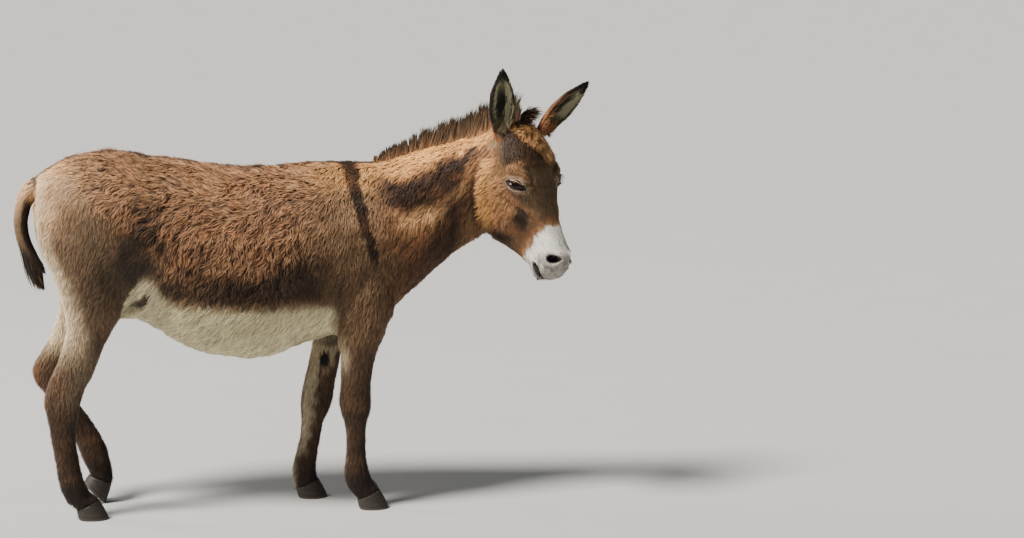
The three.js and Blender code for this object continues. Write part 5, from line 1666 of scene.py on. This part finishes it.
def makeHooves():
    # rings from the sole to the slanted coronet, with low growth ridges; the sole is slightly hollow
    horn = hoofMaterial()
    for name in [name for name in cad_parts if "hoof" in name]:
        place, tip = hoofShape[name]
        level = np.linspace(0, 1, hoofShape["rings"])[:, None]
        turn = np.linspace(0, 2 * np.pi, hoofShape["columns"], endpoint=False)[None, :]
        tilt = np.radians(hoofShape["tilt"]) * level
        ridge = 0.35 * np.sin(level * 44 + 0.7 * np.sin(turn * 2)) * ramp(0, 0.1, level)
        grow = np.interp(level, [0, 0.06, 0.55, 0.93, 1], [-0.6, 0.2, 1.3, 1.3, 0.4]) + ridge
        length = hoofShape["toe"] * (1 - level) + hoofShape["topToe"] * level + grow
        width = hoofShape["halfWidth"] * (1 - level) + hoofShape["topHalfWidth"] * level + grow
        square = np.where(np.cos(turn) < 0, 0.8, 1)
        along = signedPower(np.cos(turn), square) * length
        across = signedPower(np.sin(turn), square) * width
        rings = np.stack([hoofShape["topBack"] * level + along * np.cos(tilt), across,
                          hoofShape["topHeight"] * level + along * np.sin(tilt)], axis=-1)
        inset = rings[:1] * np.array([0.72, 0.72, 1]) + np.array([0, 0, 2.5])
        middle = rings[-1:].mean(1, keepdims=True)
        top = middle + (rings[-1:] - middle) * 0.8
        rings = np.concatenate([inset, rings, top], axis=0)
        points, triangles = closedLoft(rings)
        body = points @ spin("y", np.radians(tip)).T + np.array(place, float)
        body[:, 2] = np.maximum(body[:, 2], 0)
        piece = putMesh(name + "Horn", body, triangles, horn)
        addVector(piece, "hoofPlace", points)
        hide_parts(name)


maneHair = hairMaterial("donkey mane hair", 0.5, 0.05)
earHair = hairMaterial("donkey ear hair", 0.6, 0.1)
makeEar("ear_right", hide, earHair)
makeEar("ear_left", hide, earHair)
makeMane(maneHair)
makeForelock(maneHair)
makeTail(hide, maneHair)
makeEyes()
makeHooves()
print("ears, mane, forelock, tail, eyes and hooves made")


# degrees, metres and pixels; the aim is a point of the body in mm and the pixel where it lands
cameraView = {"yaw": 9, "elevation": 9, "distance": 10.0, "pixelsPerMm": 0.3165, "width": 1024, "height": 538,
              "aim": (448, 0, 1097), "aimPixel": (350, 162)}


def makeCamera():
    # a long lens from the animal's right, a little ahead and above; the aim point lands on its own pixel
    yaw, tip = np.radians(cameraView["yaw"]), np.radians(cameraView["elevation"])
    forward = np.array([np.sin(yaw) * np.cos(tip), np.cos(yaw) * np.cos(tip), -np.sin(tip)])
    right = np.array([np.cos(yaw), -np.sin(yaw), 0])
    up = np.array([np.sin(yaw) * np.sin(tip), np.cos(yaw) * np.sin(tip), np.cos(tip)])
    scale = cameraView["pixelsPerMm"]
    sideways = (cameraView["aimPixel"][0] - cameraView["width"] / 2) / scale
    upwards = (cameraView["height"] / 2 - cameraView["aimPixel"][1]) / scale
    place = (np.array(cameraView["aim"]) - forward * cameraView["distance"] * 1000
             - right * sideways - up * upwards + bodyShift) * 0.001
    data = bpy.data.cameras.new("camera")
    data.sensor_width = 36
    data.lens = scale * cameraView["distance"] * 1000 / cameraView["width"] * data.sensor_width
    data.clip_end = 100
    camera = bpy.data.objects.new("camera", data)
    turn = Matrix((right, up, -forward)).transposed().to_4x4()
    camera.matrix_world = Matrix.Translation(place) @ turn
    bpy.context.scene.collection.objects.link(camera)
    bpy.context.scene.camera = camera


def addLight(name, kind, place, aim, size, strength, tint):
    # a lamp at a place in metres that shines towards its aim
    data = bpy.data.lights.new(name, kind)
    data.energy = strength
    data.color = tint
    if kind == "SUN":
        data.angle = size
    else:
        data.shape = "DISK"
        data.size = size
    light = bpy.data.objects.new(name, data)
    away = unit(np.array(place, float) - np.array(aim, float))
    sideways = unit(np.cross((0, 0, 1), away))
    turn = Matrix((sideways, np.cross(away, sideways), away)).transposed().to_4x4()
    light.matrix_world = Matrix.Translation(place) @ turn
    bpy.context.scene.collection.objects.link(light)


def makeStudio():
    # a warm lamp high up behind the animal's right side, a soft one behind its left, a dim sky, a pale floor
    makeCamera()
    addLight("keyLight", "SUN", (-3.2, -1.7, 5.6), (0, 0, 0.6), 0.3, 8.3, (1, 0.955, 0.88))
    addLight("rimLight", "AREA", (-4.6, 1.6, 2.4), (0, 0, 0.8), 1.6, 130, (1, 0.98, 0.95))
    world = bpy.data.worlds.new("studio")
    world.use_nodes = True
    sky = world.node_tree.nodes["Background"].inputs
    sky["Color"].default_value = (0.83, 0.85, 0.87, 1)
    sky["Strength"].default_value = 0.19
    bpy.context.scene.world = world
    material, tree = newMaterial("painted studio floor")   # matt pale paint
    place = addNode(tree, "TexCoord")
    grain = addNode(tree, "TexNoise", {"Scale": 3.0, "Detail": 3.0}, [("Vector", place, "Object")])
    tone = addNode(tree, "MapRange", {"To Min": 0.44, "To Max": 0.47}, [("Value", grain, "Fac")])
    shader = addNode(tree, "BsdfPrincipled", {"Roughness": 0.75}, [("Base Color", tone, "Result")])
    finishMaterial(tree, shader)
    mesh = bpy.data.meshes.new("floor")
    mesh.from_pydata([(-30, -30, 0), (30, -30, 0), (30, 30, 0), (-30, 30, 0)], [], [(0, 1, 2, 3)])
    mesh.materials.append(material)
    floor = bpy.data.objects.new("floor", mesh)
    bpy.context.scene.collection.objects.link(floor)
    floor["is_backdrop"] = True


makeStudio()
print("studio made")
visualBox = [list(corner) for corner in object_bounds()]
({"cad": [[float(v) for v in corner] for corner in cadBox],
           "visual": [[float(v) for v in corner] for corner in visualBox]})
